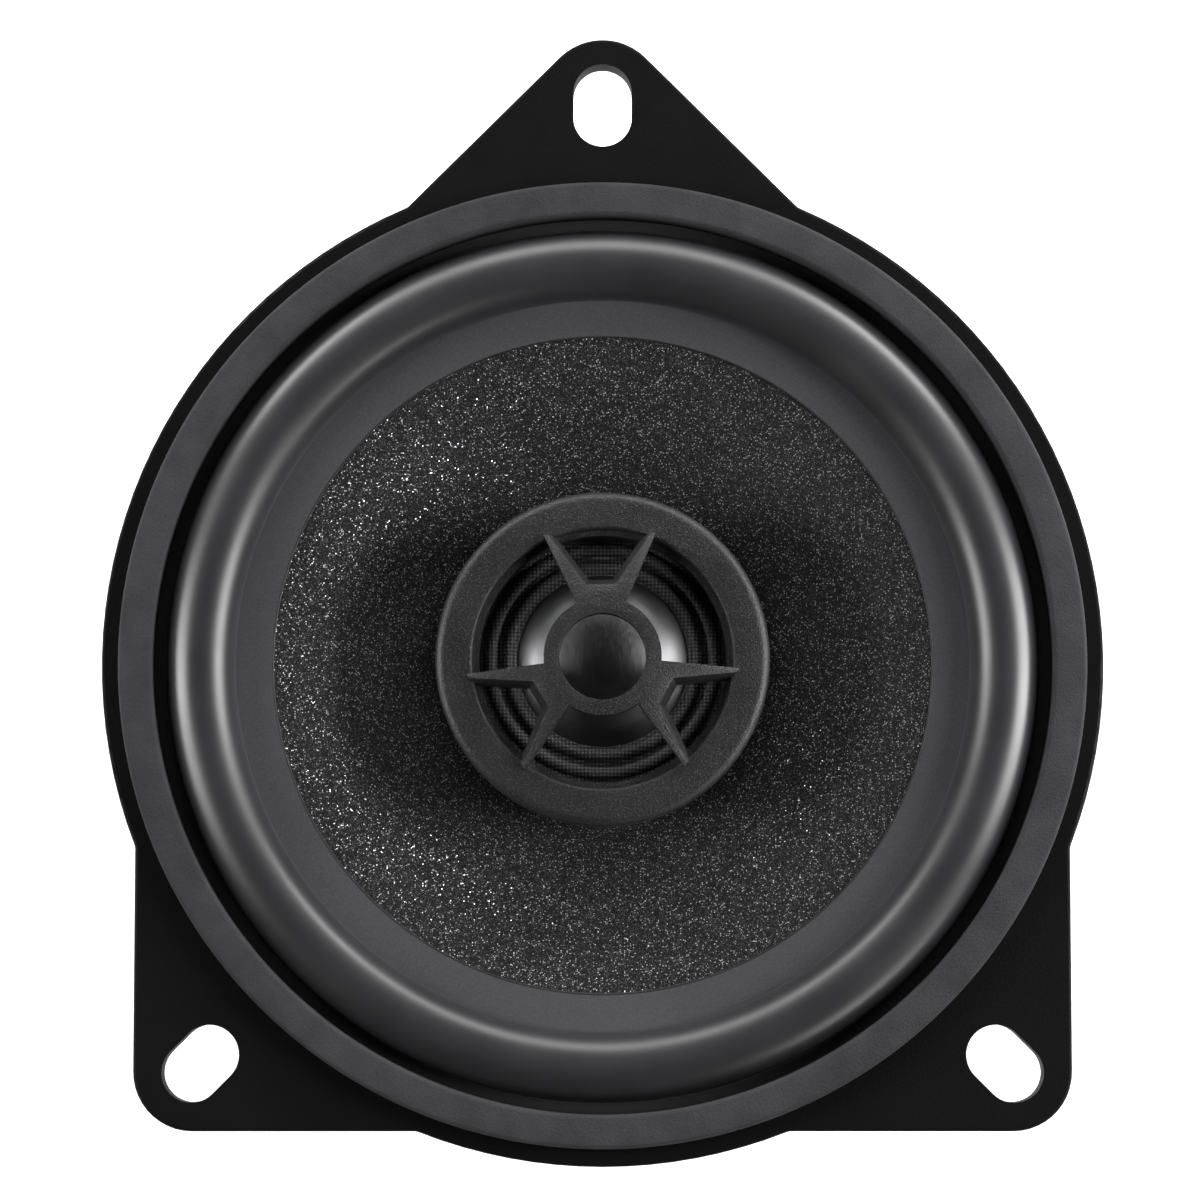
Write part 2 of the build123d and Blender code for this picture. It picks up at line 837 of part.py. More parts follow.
def make_tweeter_frame():
    """The ring that the cloth is glued to, with a skirt that centres it on the pot."""
    skirt_r = pot_r + post_fit
    outer = pod_bore_r - pod_fit
    shelf_z = pot_front_z - frame_shelf
    return turned(
        (skirt_r, pot_front_z - frame_skirt_l),
        (skirt_r + frame_skirt_t, pot_front_z - frame_skirt_l),
        (skirt_r + frame_skirt_t, shelf_z),
        (outer, shelf_z),
        (outer, frame_front_z),
        (frame_inner_r, frame_front_z),
        (frame_inner_r, pot_front_z + frame_lap_t),
        (pot_r - frame_lap, pot_front_z + frame_lap_t),
        (pot_r - frame_lap, pot_front_z),
        (skirt_r, pot_front_z),
    )


def make_tweeter_surround():
    """The cloth ring: glued flat on the frame, two small rolls, and a hem on the dome."""
    low, top = frame_front_z, frame_front_z + cloth_t
    outer = pod_bore_r - pod_fit
    (a, b), (c, d) = cloth_inner_roll, cloth_outer_roll
    rise = -cloth_roll_h
    return turned_curve(
        Line((dome_r, low), (dome_r, top)),
        Line((dome_r, top), (a, top)),
        bowed((b, top), (a, top), rise),
        bowed((c, top), (b, top), cloth_roll_h / 3),
        bowed((d, top), (c, top), rise),
        Line((d, top), (outer, top)),
        Line((outer, top), (outer, low)),
        Line((outer, low), (d, low)),
        bowed((d, low), (c, low), rise),
        bowed((c, low), (b, low), cloth_roll_h / 3),
        bowed((b, low), (a, low), rise),
        Line((a, low), (dome_r, low)),
    )


def make_tweeter_dome():
    rim = frame_front_z
    inner_r = dome_r - dome_t
    inner_h = dome_h - dome_t
    return turned_curve(
        Line((0, rim + inner_h), (0, rim + dome_h)),
        dome_arc(dome_r, rim, dome_h),
        Line((dome_r, rim), (inner_r, rim)),
        dome_arc(inner_r, rim, inner_h),
    )


def dome_arc(radius, rim_z, height):
    """Half of a dome's section, from its top down to its rim."""
    ball_r = (radius**2 + height**2) / (2 * height)
    half = radius / 2
    mid_z = rim_z + height - ball_r + (ball_r**2 - half**2) ** 0.5
    return ThreePointArc((0, rim_z + height), (half, mid_z), (radius, rim_z))


def make_tweeter_coil_former():
    outer = tweeter_former_r
    return tube(outer, outer - tweeter_coil_t, frame_front_z - tweeter_former_l, frame_front_z)


def make_tweeter_coil_winding():
    middle = pot_front_z - tweeter_plate_t / 2
    half = tweeter_winding_l / 2
    return tube(tweeter_former_r + tweeter_winding_t, tweeter_former_r, middle - half, middle + half)


def guard_pair():
    """A lobe of the hub with its two legs, about angle 0, before its slopes are cut."""
    sides = [on_circle(r, a) for r, a in (
        (hub_mid_r, -leg_half_deg),
        (leg_tip_r, -leg_half_deg),
        (leg_tip_r, leg_half_deg),
        (hub_mid_r, leg_half_deg),
    )]
    low_z = bezel_face_z - bezel_lip_drop
    fan = Pos(0, 0, low_z) * extrude(make_face(Polyline(*sides, close=True)), hub_front_z - low_z)
    notch = [on_circle(r, a) for r, a in (
        (notch_root_r, -notch_root_deg),
        (notch_reach_r, -notch_tip_deg),
        (notch_reach_r, notch_tip_deg),
        (notch_root_r, notch_root_deg),
    )]
    opening = extrude(
        make_face(Polyline(*notch, close=True)), -(hub_front_z - low_z + 1), taper=notch_draft_deg
    )
    return fan - Pos(0, 0, hub_front_z) * opening


def guard_slopes():
    """The turned envelope of hub and legs: front and rear both slope down to the bezel."""
    tip_rear_z = bezel_face_z - bezel_lip_drop
    return turned(
        (hub_bore_r, hub_front_z - hub_t),
        (hub_r, hub_front_z - hub_t),
        (bezel_lip_r, tip_rear_z),
        (leg_tip_r, tip_rear_z),
        (leg_tip_r, leg_tip_front_z),
        (hub_r, hub_front_z),
        (hub_bore_r, hub_front_z),
    )


def bezel_ring():
    """The ring around the tweeter, with the spigot that fits the pod's bore."""
    outer = pod_bore_r - pod_fit
    spigot_z = frame_front_z + cloth_t
    rim = turned(
        (bezel_lip_r, spigot_z),
        (outer, spigot_z),
        (outer, pod_front_z),
        (bezel_r, pod_front_z),
        (bezel_r, bezel_face_z),
        (bezel_opening_r, bezel_face_z),
        (bezel_opening_r, bezel_face_z - bezel_lip_drop),
        (bezel_lip_r, bezel_face_z - bezel_lip_drop),
    )
    circles = rim.faces().sort_by(Axis.Z)[-1].edges().sort_by(SortBy.RADIUS)
    rim = fillet(circles[-1], bezel_round)
    circles = rim.faces().filter_by(GeomType.PLANE).sort_by(Axis.Z)[-1].edges().sort_by(SortBy.RADIUS)
    return fillet(circles[0], bezel_inner_round)


def make_tweeter_bezel():
    """Ring, hub and six legs in one moulding."""
    hub = tube(hub_r, hub_bore_r, hub_front_z - hub_t, hub_front_z)
    pairs = guard_pair()
    legs = Part() + [Rot(0, 0, a) * pairs for a in guard_angles]
    guard = hub + (legs & guard_slopes())
    return bezel_ring() + guard


NODES = {
    "basket": make_basket,
    "front_gasket": make_front_gasket,
    "surround": make_surround,
    "cone": make_cone,
    "voice_coil_former": make_former,
    "voice_coil_winding": make_winding,
    "coil_lead_pads": make_coil_lead_pads,
    "spider": make_spider,
    "tinsel_lead_positive": lambda: make_tinsel_lead(*coil_pad_places()[0]),
    "tinsel_lead_negative": lambda: make_tinsel_lead(*coil_pad_places()[1]),
    "top_plate": make_top_plate,
    "magnet": make_magnet,
    "yoke": make_yoke,
    "magnet_boot": make_magnet_boot,
    "motor_screws": make_motor_screws,
    "terminal_block": make_terminal_block,
    "terminal_blade_wide": lambda: make_blade(wide_blade_x, wide_blade_w),
    "terminal_blade_narrow": lambda: make_blade(narrow_blade_x, narrow_blade_w),
    "capacitor": make_capacitor,
    "capacitor_lead_terminal": make_capacitor_lead_terminal,
    "capacitor_lead_tweeter": make_capacitor_lead_tweeter,
    "splice_sleeve": make_splice_sleeve,
    "tweeter_lead_positive": make_tweeter_lead_positive,
    "tweeter_lead_negative": make_tweeter_lead_negative,
    "tweeter_post": make_tweeter_post,
    "post_nut": make_post_nut,
    "tweeter_housing": make_tweeter_housing,
    "tweeter_yoke": make_tweeter_yoke,
    "tweeter_magnet": make_tweeter_magnet,
    "tweeter_pole_plate": make_tweeter_pole_plate,
    "tweeter_damper": make_tweeter_damper,
    "tweeter_frame": make_tweeter_frame,
    "tweeter_surround": make_tweeter_surround,
    "tweeter_dome": make_tweeter_dome,
    "tweeter_coil_former": make_tweeter_coil_former,
    "tweeter_coil_winding": make_tweeter_coil_winding,
    "tweeter_bezel": make_tweeter_bezel,
}

os.makedirs("parts", exist_ok=True)
for name, make in NODES.items():
    export_step(make(), f"parts/{name}.step")
    print(name)
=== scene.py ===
"""Looks of a two-way coaxial car speaker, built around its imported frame.

The frame holds every piece at its real size and place. This script gives each one its
finish, remakes the soft and finely rounded pieces as smooth meshes, and sets up a small
white studio with a camera above the cone. Lengths are in metres unless a name says _mm.
"""

from __future__ import annotations

import json
import logging
import math
from dataclasses import dataclass
from enum import Enum
from typing import Iterable, Protocol, Sequence

import bmesh
import bpy
from mathutils import Matrix, Vector

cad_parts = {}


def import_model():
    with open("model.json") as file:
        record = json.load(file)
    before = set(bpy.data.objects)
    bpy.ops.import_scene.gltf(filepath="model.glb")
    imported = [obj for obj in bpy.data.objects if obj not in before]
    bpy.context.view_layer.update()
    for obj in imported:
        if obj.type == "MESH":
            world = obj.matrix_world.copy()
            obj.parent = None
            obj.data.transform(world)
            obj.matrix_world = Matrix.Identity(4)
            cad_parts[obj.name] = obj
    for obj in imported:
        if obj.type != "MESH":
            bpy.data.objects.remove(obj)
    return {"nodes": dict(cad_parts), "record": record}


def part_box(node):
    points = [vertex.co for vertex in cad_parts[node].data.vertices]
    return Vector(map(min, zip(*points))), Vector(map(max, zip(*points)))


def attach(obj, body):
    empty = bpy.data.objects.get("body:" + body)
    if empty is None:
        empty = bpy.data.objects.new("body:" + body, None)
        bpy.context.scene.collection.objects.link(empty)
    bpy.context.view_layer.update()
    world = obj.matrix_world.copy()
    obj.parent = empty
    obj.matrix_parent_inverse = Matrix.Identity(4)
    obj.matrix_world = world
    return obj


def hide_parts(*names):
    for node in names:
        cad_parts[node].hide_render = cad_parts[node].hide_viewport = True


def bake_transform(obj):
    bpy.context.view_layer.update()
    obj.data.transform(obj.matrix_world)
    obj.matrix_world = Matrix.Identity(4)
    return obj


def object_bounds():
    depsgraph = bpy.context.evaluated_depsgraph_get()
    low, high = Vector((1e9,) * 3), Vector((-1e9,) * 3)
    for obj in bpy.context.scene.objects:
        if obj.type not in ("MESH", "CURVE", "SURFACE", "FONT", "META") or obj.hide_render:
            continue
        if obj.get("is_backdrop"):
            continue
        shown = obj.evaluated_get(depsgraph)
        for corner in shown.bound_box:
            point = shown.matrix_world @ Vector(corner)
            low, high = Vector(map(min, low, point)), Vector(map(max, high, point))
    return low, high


MM = 0.001
LOG = logging.getLogger("speaker")
Point = tuple[float, float]
Colour = tuple[float, float, float]
FULL_TURN_STEPS = 256
WELD = 1e-7  # closer points than this are one
LOOSE_WELD = 2e-6  # the same for the frame's rounded-off triangles
SECTOR_SHARP_DEG = 60.0
WHITE = (1.0, 1.0, 1.0)
NOISE_RANGE = (0.3, 0.7)  # nearly all of a noise's values lie between these


class Body(Enum):
    """The frame's moving bodies."""

    ROOT = "root"
    CONE = "cone_assembly"
    DIAPHRAGM = "tweeter_diaphragm"


class Threads(Enum):
    """How the threads of a cloth cross."""

    PLAIN = "plain"
    DIAGONAL = "diagonal"


# ---------------------------------------------------------------------------
# Measuring the frame
# ---------------------------------------------------------------------------


@dataclass(frozen=True)
class Span:
    """A turned node's reach: its radii about the axis and its heights."""

    inner: float
    outer: float
    low: float
    high: float

    @classmethod
    def of(cls, node: bpy.types.Object) -> Span:
        """Measures a node of the frame.

        Args:
            node: The node's object, whose mesh is in the frame's own coordinates.

        Returns:
            The node's span.
        """
        radii = [math.hypot(v.co.x, v.co.y) for v in node.data.vertices]
        heights = [v.co.z for v in node.data.vertices]
        return cls(min(radii), max(radii), min(heights), max(heights))


# ---------------------------------------------------------------------------
# Node graphs and finishes
# ---------------------------------------------------------------------------


def shaded(colour: Colour, factor: float) -> Colour:
    """The colour times a factor."""
    return tuple(c * factor for c in colour)


class Graph:
    """A material's node tree with short calls to add and join its nodes."""

    def __init__(self, name: str) -> None:
        """Makes an empty material.

        Args:
            name: The material's name.
        """
        self.material = bpy.data.materials.new(name)
        self.material.use_nodes = True
        self.tree = self.material.node_tree
        self.tree.nodes.clear()
        self.output = self.tree.nodes.new("ShaderNodeOutputMaterial")
        self.shader = self.tree.nodes.new("ShaderNodeBsdfPrincipled")
        self.tree.links.new(self.shader.outputs[0], self.output.inputs[0])
        self.place = self.tree.nodes.new("ShaderNodeTexCoord").outputs["Object"]

    def add(self, kind: str, **inputs: object) -> bpy.types.Node:
        """Adds a node and sets or joins its inputs.

        Args:
            kind: The node's type without its ShaderNode prefix.
            **inputs: Values or sockets by input name, with spaces as underscores.

        Returns:
            The new node.
        """
        node = self.tree.nodes.new("ShaderNode" + kind)
        for key, value in inputs.items():
            self.put(node.inputs[key.replace("_", " ")], value)
        return node

    def put(self, socket: bpy.types.NodeSocket, value: object) -> None:
        """Sets a socket's value, or joins it to another node's output.

        Args:
            socket: The input to fill.
            value: A number, a colour or an output socket.
        """
        if isinstance(value, bpy.types.NodeSocket):
            self.tree.links.new(value, socket)
        elif socket.type == "RGBA" and len(value) == 3:
            socket.default_value = (*value, 1.0)
        else:
            socket.default_value = value

    def math(self, operation: str, *values: object) -> bpy.types.NodeSocket:
        """Adds a Math node.

        Args:
            operation: The operation's name in Blender.
            *values: Its inputs, in order.

        Returns:
            The result's socket.
        """
        node = self.tree.nodes.new("ShaderNodeMath")
        node.operation = operation
        for socket, value in zip(node.inputs, values):
            self.put(socket, value)
        return node.outputs[0]

    def vector(self, operation: str, *values: object) -> bpy.types.NodeSocket:
        """Adds a Vector Math node.

        Args:
            operation: The operation's name in Blender.
            *values: Its inputs, in order.

        Returns:
            The resulting vector's socket.
        """
        node = self.tree.nodes.new("ShaderNodeVectorMath")
        node.operation = operation
        for socket, value in zip(node.inputs, values):
            self.put(socket, value)
        return node.outputs[0]

    def stretched(self, scale: Sequence[float], turn_deg: float = 0.0) -> bpy.types.NodeSocket:
        """The object coordinates turned about the axis and then scaled.

        Args:
            scale: The scale along each axis.
            turn_deg: The turn about the speaker's axis, in degrees.

        Returns:
            A vector socket.
        """
        turned = self.add("Mapping", Vector=self.place, Rotation=(0, 0, math.radians(turn_deg)))
        return self.add("Mapping", Vector=turned.outputs[0], Scale=scale).outputs[0]

    def radius(self) -> bpy.types.NodeSocket:
        """The distance from the speaker's axis.

        Returns:
            The distance's socket, in metres.
        """
        place = self.add("SeparateXYZ", Vector=self.place)
        x, y = place.outputs[0], place.outputs[1]
        square = self.math("ADD", self.math("MULTIPLY", x, x), self.math("MULTIPLY", y, y))
        return self.math("SQRT", square)

    def noise(self, grain_mm: float, detail: float = 3.0, place: object = None) -> bpy.types.NodeSocket:
        """Adds a noise whose blobs are about the given size.

        Args:
            grain_mm: The size of a blob in millimetres.
            detail: How many finer octaves it has.
            place: The coordinates to use, or None for the object's own.

        Returns:
            The noise's value.
        """
        node = self.add(
            "TexNoise", Vector=place or self.place, Scale=1 / (grain_mm * MM), Detail=detail
        )
        return node.outputs["Fac"]

    def cells(self, size_mm: float, place: object = None) -> bpy.types.Node:
        """Adds a cell pattern with cells of about the given size.

        Args:
            size_mm: The size of a cell in millimetres.
            place: The coordinates to use, or None for the object's own.

        Returns:
            The Voronoi node.
        """
        return self.add("TexVoronoi", Vector=place or self.place, Scale=1 / (size_mm * MM))

    def ramp(self, value: object, low: float, high: float, out: Point = (0, 1)) -> bpy.types.NodeSocket:
        """Maps a range of values to another, clamped at both ends.

        Args:
            value: The value's socket.
            low: The value that gives the first result.
            high: The value that gives the second result.
            out: The two results.

        Returns:
            The mapped value.
        """
        node = self.add("MapRange")
        for index, item in enumerate((value, low, high, *out)):
            self.put(node.inputs[index], item)
        return node.outputs[0]

    def mix(self, factor: object, first: object, second: object) -> bpy.types.NodeSocket:
        """Mixes two colours.

        Args:
            factor: 0 for the first colour, 1 for the second.
            first: A colour or its socket.
            second: A colour or its socket.

        Returns:
            The mixed colour.
        """
        node = self.tree.nodes.new("ShaderNodeMix")
        node.data_type = "RGBA"
        for index, item in ((0, factor), (6, first), (7, second)):
            self.put(node.inputs[index], item)
        return node.outputs[2]

    def bump(self, height: object, depth_mm: float, under: object = None) -> bpy.types.NodeSocket:
        """Adds a bump of a real depth.

        Args:
            height: The height's socket, from 0 to 1.
            depth_mm: The depth that a height of 1 stands for.
            under: A normal to start from, such as another bump.

        Returns:
            The bumped normal.
        """
        node = self.add("Bump", Height=height, Distance=depth_mm * MM, Strength=1.0)
        if under is not None:
            self.put(node.inputs["Normal"], under)
        return node.outputs[0]

    def finish(self, **inputs: object) -> bpy.types.Material:
        """Fills the shader's inputs.

        Args:
            **inputs: Values or sockets by input name, with spaces as underscores.

        Returns:
            The finished material.
        """
        for key, value in inputs.items():
            self.put(self.shader.inputs[key.replace("_", " ")], value)
        return self.material


class Finish(Protocol):
    """What every finish can do."""

    def make(self, name: str) -> bpy.types.Material:
        """Makes the material.

        Args:
            name: The material's name.

        Returns:
            The finished material.
        """


@dataclass(frozen=True)
class MouldedPlastic:
    """Plastic with the pebbled skin of an etched mould."""

    colour: Colour
    roughness: float = 0.55
    pebble_mm: float = 0.35
    pebble_depth_mm: float = 0.02
    speck: float = 0.0  # how much the small painted glints, highlights painted into the colour as lighter specks, lighten it
    gloss: float = 0.5
    cloud_mm: float = 18.0
    smear_mm: float = 6.0

    def make(self, name: str) -> bpy.types.Material:
        """Makes the material.

        Args:
            name: The material's name.

        Returns:
            The finished material.
        """
        g = Graph(name)
        pebble = g.cells(self.pebble_mm).outputs["Distance"]
        fine = g.noise(self.pebble_mm / 3)
        skin = g.math("ADD", g.math("MULTIPLY", pebble, 0.7), g.math("MULTIPLY", fine, 0.6))
        cloud = g.ramp(g.noise(self.cloud_mm, 2.0), *NOISE_RANGE, (0.85, 1.15))
        # Painted glints: random specks get a much lighter colour, standing in for highlights on the grain.
        painted_glint = g.ramp(g.noise(self.pebble_mm / 2.2, 1.0), 0.58, 0.78, (0.0, self.speck))
        painted_glint_colour = tuple(min(1.0, c * 6 + 0.04) for c in self.colour)
        lit = g.mix(painted_glint, self.colour, painted_glint_colour)
        shade = g.add("HueSaturation", Value=cloud, Color=lit)
        rough = g.ramp(g.noise(self.smear_mm), *NOISE_RANGE, (self.roughness - 0.05, self.roughness + 0.06))
        return g.finish(
            Base_Color=shade.outputs[0],
            Roughness=rough,
            Specular_IOR_Level=self.gloss,
            Normal=g.bump(skin, self.pebble_depth_mm),
        )


@dataclass(frozen=True)
class Sponge:
    """Closed-cell foam with a skin of fine open pores."""

    colour: Colour
    pore_mm: float = 0.28
    pore_depth_mm: float = 0.03
    cloud_mm: float = 4.0

    def make(self, name: str) -> bpy.types.Material:
        """Makes the material.

        Args:
            name: The material's name.

        Returns:
            The finished material.
        """
        g = Graph(name)
        pore = g.ramp(g.cells(self.pore_mm).outputs["Distance"], 0.1, 0.6)
        fine = g.noise(self.pore_mm / 2.5, 2.0)
        height = g.math("ADD", pore, g.math("MULTIPLY", fine, 0.8))
        tone = g.ramp(g.math("ADD", fine, g.noise(self.cloud_mm)), 0.7, 1.3)
        dark = shaded(self.colour, 0.72)
        light = shaded(self.colour, 1.3)
        return g.finish(
            Base_Color=g.mix(tone, dark, light),
            Roughness=0.92,
            Specular_IOR_Level=0.25,
            Normal=g.bump(height, self.pore_depth_mm),
        )


@dataclass(frozen=True)
class SatinRubber:
    """Moulded rubber with a dusting of very fine grain."""

    colour: Colour
    roughness: float = 0.5
    grain_mm: float = 0.14
    grain_depth_mm: float = 0.004
    gloss: float = 0.5
    matte_r_mm: float = 0.0  # inside this radius the mould was sand-blasted
    matte_roughness: float = 0.5
    matte_lift: float = 2.3  # how much paler the blasted skin looks
    painted_shade_r_mm: float = 1000.0  # outside this radius the rubber is painted near-black, as shade down in the groove by the gasket
    # The near-black colour and the roughness of the painted groove shade.
    groove_shade: Colour = (0.002, 0.002, 0.002)
    groove_shade_roughness: float = 0.9
    cloud_mm: float = 7.0
    smear_mm: float = 11.0

    def make(self, name: str) -> bpy.types.Material:
        """Makes the material.

        Args:
            name: The material's name.

        Returns:
            The finished material.
        """
        g = Graph(name)
        grain = g.noise(self.grain_mm, 2.0)
        radius = g.radius()
        edge = self.matte_r_mm * MM
        blasted = g.ramp(radius, edge, edge + 0.3 * MM, (1.0, 0.0))
        speck = g.ramp(g.noise(self.grain_mm * 1.6, 2.0), 0.35, 0.7, (0.75, 1.25))
        dark = shaded(self.colour, 0.88)
        light = shaded(self.colour, 1.15)
        skin = g.mix(g.ramp(g.noise(self.cloud_mm), 0.35, 0.7), dark, light)
        pale = g.add("HueSaturation", Value=speck, Color=shaded(self.colour, self.matte_lift))
        satin = g.ramp(g.noise(self.smear_mm), *NOISE_RANGE, (self.roughness - 0.03, self.roughness + 0.03))
        matting = g.math("MULTIPLY", blasted, self.matte_roughness - self.roughness)
        # Painted shade: beyond the given radius the rubber is coloured near-black and made rough, standing
        # in for the shade in the groove by the gasket.
        shade_edge = self.painted_shade_r_mm * MM
        in_groove_shade = g.ramp(radius, shade_edge, shade_edge + 0.1 * MM)
        dulling = g.math("MULTIPLY", in_groove_shade, self.groove_shade_roughness - self.roughness)
        rough = g.math("ADD", g.math("ADD", satin, matting), dulling)
        colour = g.mix(in_groove_shade, g.mix(blasted, skin, pale.outputs[0]), self.groove_shade)
        depth = g.math("ADD", 1.0, g.math("MULTIPLY", blasted, 1.5))
        return g.finish(
            Base_Color=colour,
            Roughness=rough,
            Specular_IOR_Level=self.gloss,
            Normal=g.bump(g.math("MULTIPLY", grain, depth), self.grain_depth_mm),
        )


@dataclass(frozen=True)
class MicaCone:
    """Black polypropylene filled with flakes of silver mica, each at its own small angle."""

    colour: Colour = (0.005, 0.005, 0.0054)
    fleck: Colour = (0.66, 0.66, 0.68)
    fleck_mm: float = 0.17
    share: float = 0.20
    lean: float = 0.6  # how far the flakes' angles scatter
    dust_share: float = 0.16
    dust_shine: float = 0.22
    ripple_mm: float = 0.006

    def make(self, name: str) -> bpy.types.Material:
        """Makes the material.

        Args:
            name: The material's name.

        Returns:
            The finished material.
        """
        g = Graph(name)
        cells = g.cells(self.fleck_mm)
        tone = g.add("SeparateColor", Color=cells.outputs["Color"])
        body = g.ramp(cells.outputs["Distance"], 0.30, 0.46, (1.0, 0.0))
        pick = g.ramp(tone.outputs[0], 1 - self.share, 1 - self.share / 3)
        flake = g.math("MULTIPLY", pick, body)
        small = g.cells(self.fleck_mm / 2.2)
        small_tone = g.add("SeparateColor", Color=small.outputs["Color"])
        dust = g.ramp(small_tone.outputs[1], 1 - self.dust_share, 1.0, (0.0, self.dust_shine))
        silver = g.math("MAXIMUM", flake, dust)
        return g.finish(
            Base_Color=g.mix(silver, self.colour, self.fleck),
            Metallic=g.math("MULTIPLY", silver, 0.9),
            Roughness=g.ramp(silver, 0.0, 1.0, (0.48, 0.30)),
            Specular_IOR_Level=0.24,
            Normal=self.scattered(g, cells.outputs["Color"], flake),
        )

    def scattered(
        self, g: Graph, cell: bpy.types.NodeSocket, flake: bpy.types.NodeSocket
    ) -> bpy.types.NodeSocket:
        """The surface's normal, leaned at random on each flake.

        Args:
            g: The material's graph.
            cell: A random colour for each cell.
            flake: How much of a flake each point is.

        Returns:
            A normal socket.
        """
        centred = g.vector("SUBTRACT", cell, (0.5, 0.5, 0.5))
        strength = g.math("MULTIPLY", flake, self.lean)
        offset = g.tree.nodes.new("ShaderNodeVectorMath")
        offset.operation = "SCALE"
        g.put(offset.inputs[0], centred)
        g.put(offset.inputs["Scale"], strength)
        upright = g.bump(g.noise(self.fleck_mm, 2.0), self.ripple_mm)
        return g.vector("NORMALIZE", g.vector("ADD", upright, offset.outputs[0]))


@dataclass(frozen=True)
class WovenCloth:
    """Cloth whose threads run straight across the piece."""

    colour: Colour
    thread: Colour
    pitch_mm: float = 0.3
    threads: Threads = Threads.DIAGONAL
    roughness: float = 0.6
    depth_mm: float = 0.035

    def make(self, name: str) -> bpy.types.Material:
        """Makes the material.

        Args:
            name: The material's name.

        Returns:
            The finished material.
        """
        g = Graph(name)
        turn = 45.0 if self.threads is Threads.DIAGONAL else 0.0
        k = math.pi / (self.pitch_mm * MM)
        warped = g.add("SeparateXYZ", Vector=g.stretched((k, k, k), turn))
        across = g.math("SINE", warped.outputs[0])
        along = g.math("SINE", warped.outputs[1])
        knots = g.math("MULTIPLY", across, along)
        over = g.ramp(knots, -0.2, 0.9)
        fibre = g.noise(self.pitch_mm / 3, 2.0)
        height = g.math("ADD", over, g.math("MULTIPLY", fibre, 0.3))
        return g.finish(
            Base_Color=g.mix(over, self.colour, self.thread),
            Roughness=self.roughness,
            Specular_IOR_Level=0.5,
            Normal=g.bump(height, self.depth_mm),
        )


@dataclass(frozen=True)
class GrainedMetal:
    """Metal with a fine straight grain, as a drawn or brushed sheet has."""

    colour: Colour
    roughness: float = 0.35
    grain_mm: float = 0.12
    length_ratio: float = 22.0
    grain_turn_deg: float = 0.0
    depth_mm: float = 0.002

    def make(self, name: str) -> bpy.types.Material:
        """Makes the material.

        Args:
            name: The material's name.

        Returns:
            The finished material.
        """
        g = Graph(name)
        place = g.stretched((1.0, 1 / self.length_ratio, 1.0), self.grain_turn_deg)
        grain = g.noise(self.grain_mm, 3.0, place)
        tone = g.ramp(grain, *NOISE_RANGE)
        dark = shaded(self.colour, 0.82)
        rough = g.ramp(grain, *NOISE_RANGE, (self.roughness - 0.07, self.roughness + 0.09))
        return g.finish(
            Base_Color=g.mix(tone, dark, self.colour),
            Metallic=1.0,
            Roughness=rough,
            Normal=g.bump(grain, self.depth_mm),
        )


@dataclass(frozen=True)
class PlatedSteel:
    """Zinc-plated steel with a faint spangle and handling marks."""

    colour: Colour
    roughness: float = 0.36
    spangle_mm: float = 2.4
    haze_mm: float = 9.0

    def make(self, name: str) -> bpy.types.Material:
        """Makes the material.

        Args:
            name: The material's name.

        Returns:
            The finished material.
        """
        g = Graph(name)
        spangle = g.add("SeparateColor", Color=g.cells(self.spangle_mm).outputs["Color"]).outputs[0]
        haze = g.noise(self.haze_mm, 4.0)
        tone = g.math("ADD", g.math("MULTIPLY", spangle, 0.3), g.math("MULTIPLY", haze, 0.7))
        dark = shaded(self.colour, 0.75)
        rough = g.ramp(tone, 0.2, 0.8, (self.roughness - 0.08, self.roughness + 0.12))
        return g.finish(
            Base_Color=g.mix(tone, dark, self.colour),
            Metallic=1.0,
            Roughness=rough,
            Normal=g.bump(g.noise(0.4), 0.002),
        )


@dataclass(frozen=True)
class Ferrite:
    """Fired ferrite, dark, with small glints painted into its colour at the peaks of its grit."""

    colour: Colour = (0.035, 0.035, 0.038)
    # the colour of the painted glints
    painted_glint: Colour = (0.3, 0.3, 0.31)
    grit_mm: float = 0.25
    grit_depth_mm: float = 0.012
    cloud_mm: float = 5.0

    def make(self, name: str) -> bpy.types.Material:
        """Makes the material.

        Args:
            name: The material's name.

        Returns:
            The finished material.
        """
        g = Graph(name)
        grit = g.noise(self.grit_mm, 2.0)
        # Painted glints: the grit's peaks get a much lighter colour, standing in for sparkle from the
        # lamps.
        painted_glint = g.ramp(grit, 0.66, 0.8, (0.0, 0.25))
        cloud = g.ramp(g.noise(self.cloud_mm), *NOISE_RANGE)
        base = g.mix(cloud, shaded(self.colour, 0.7), self.colour)
        return g.finish(
            Base_Color=g.mix(painted_glint, base, self.painted_glint),
            Roughness=0.62,
            Specular_IOR_Level=0.6,
            Normal=g.bump(grit, self.grit_depth_mm),
        )


@dataclass(frozen=True)
class WoundWire:
    """Enamelled wire in close turns about the axis."""

    colour: Colour
    wire_mm: float = 0.25

    def make(self, name: str) -> bpy.types.Material:
        """Makes the material.

        Args:
            name: The material's name.

        Returns:
            The finished material.
        """
        g = Graph(name)
        height = g.add("SeparateXYZ", Vector=g.place).outputs[2]
        turns = g.math("SINE", g.math("MULTIPLY", height, 2 * math.pi / (self.wire_mm * MM)))
        tone = g.ramp(turns, -1.0, 0.4)
        dark = shaded(self.colour, 0.3)
        return g.finish(
            Base_Color=g.mix(tone, dark, self.colour),
            Metallic=1.0,
            Roughness=0.3,
            Coat_Weight=0.4,
            Normal=g.bump(turns, self.wire_mm / 6),
        )


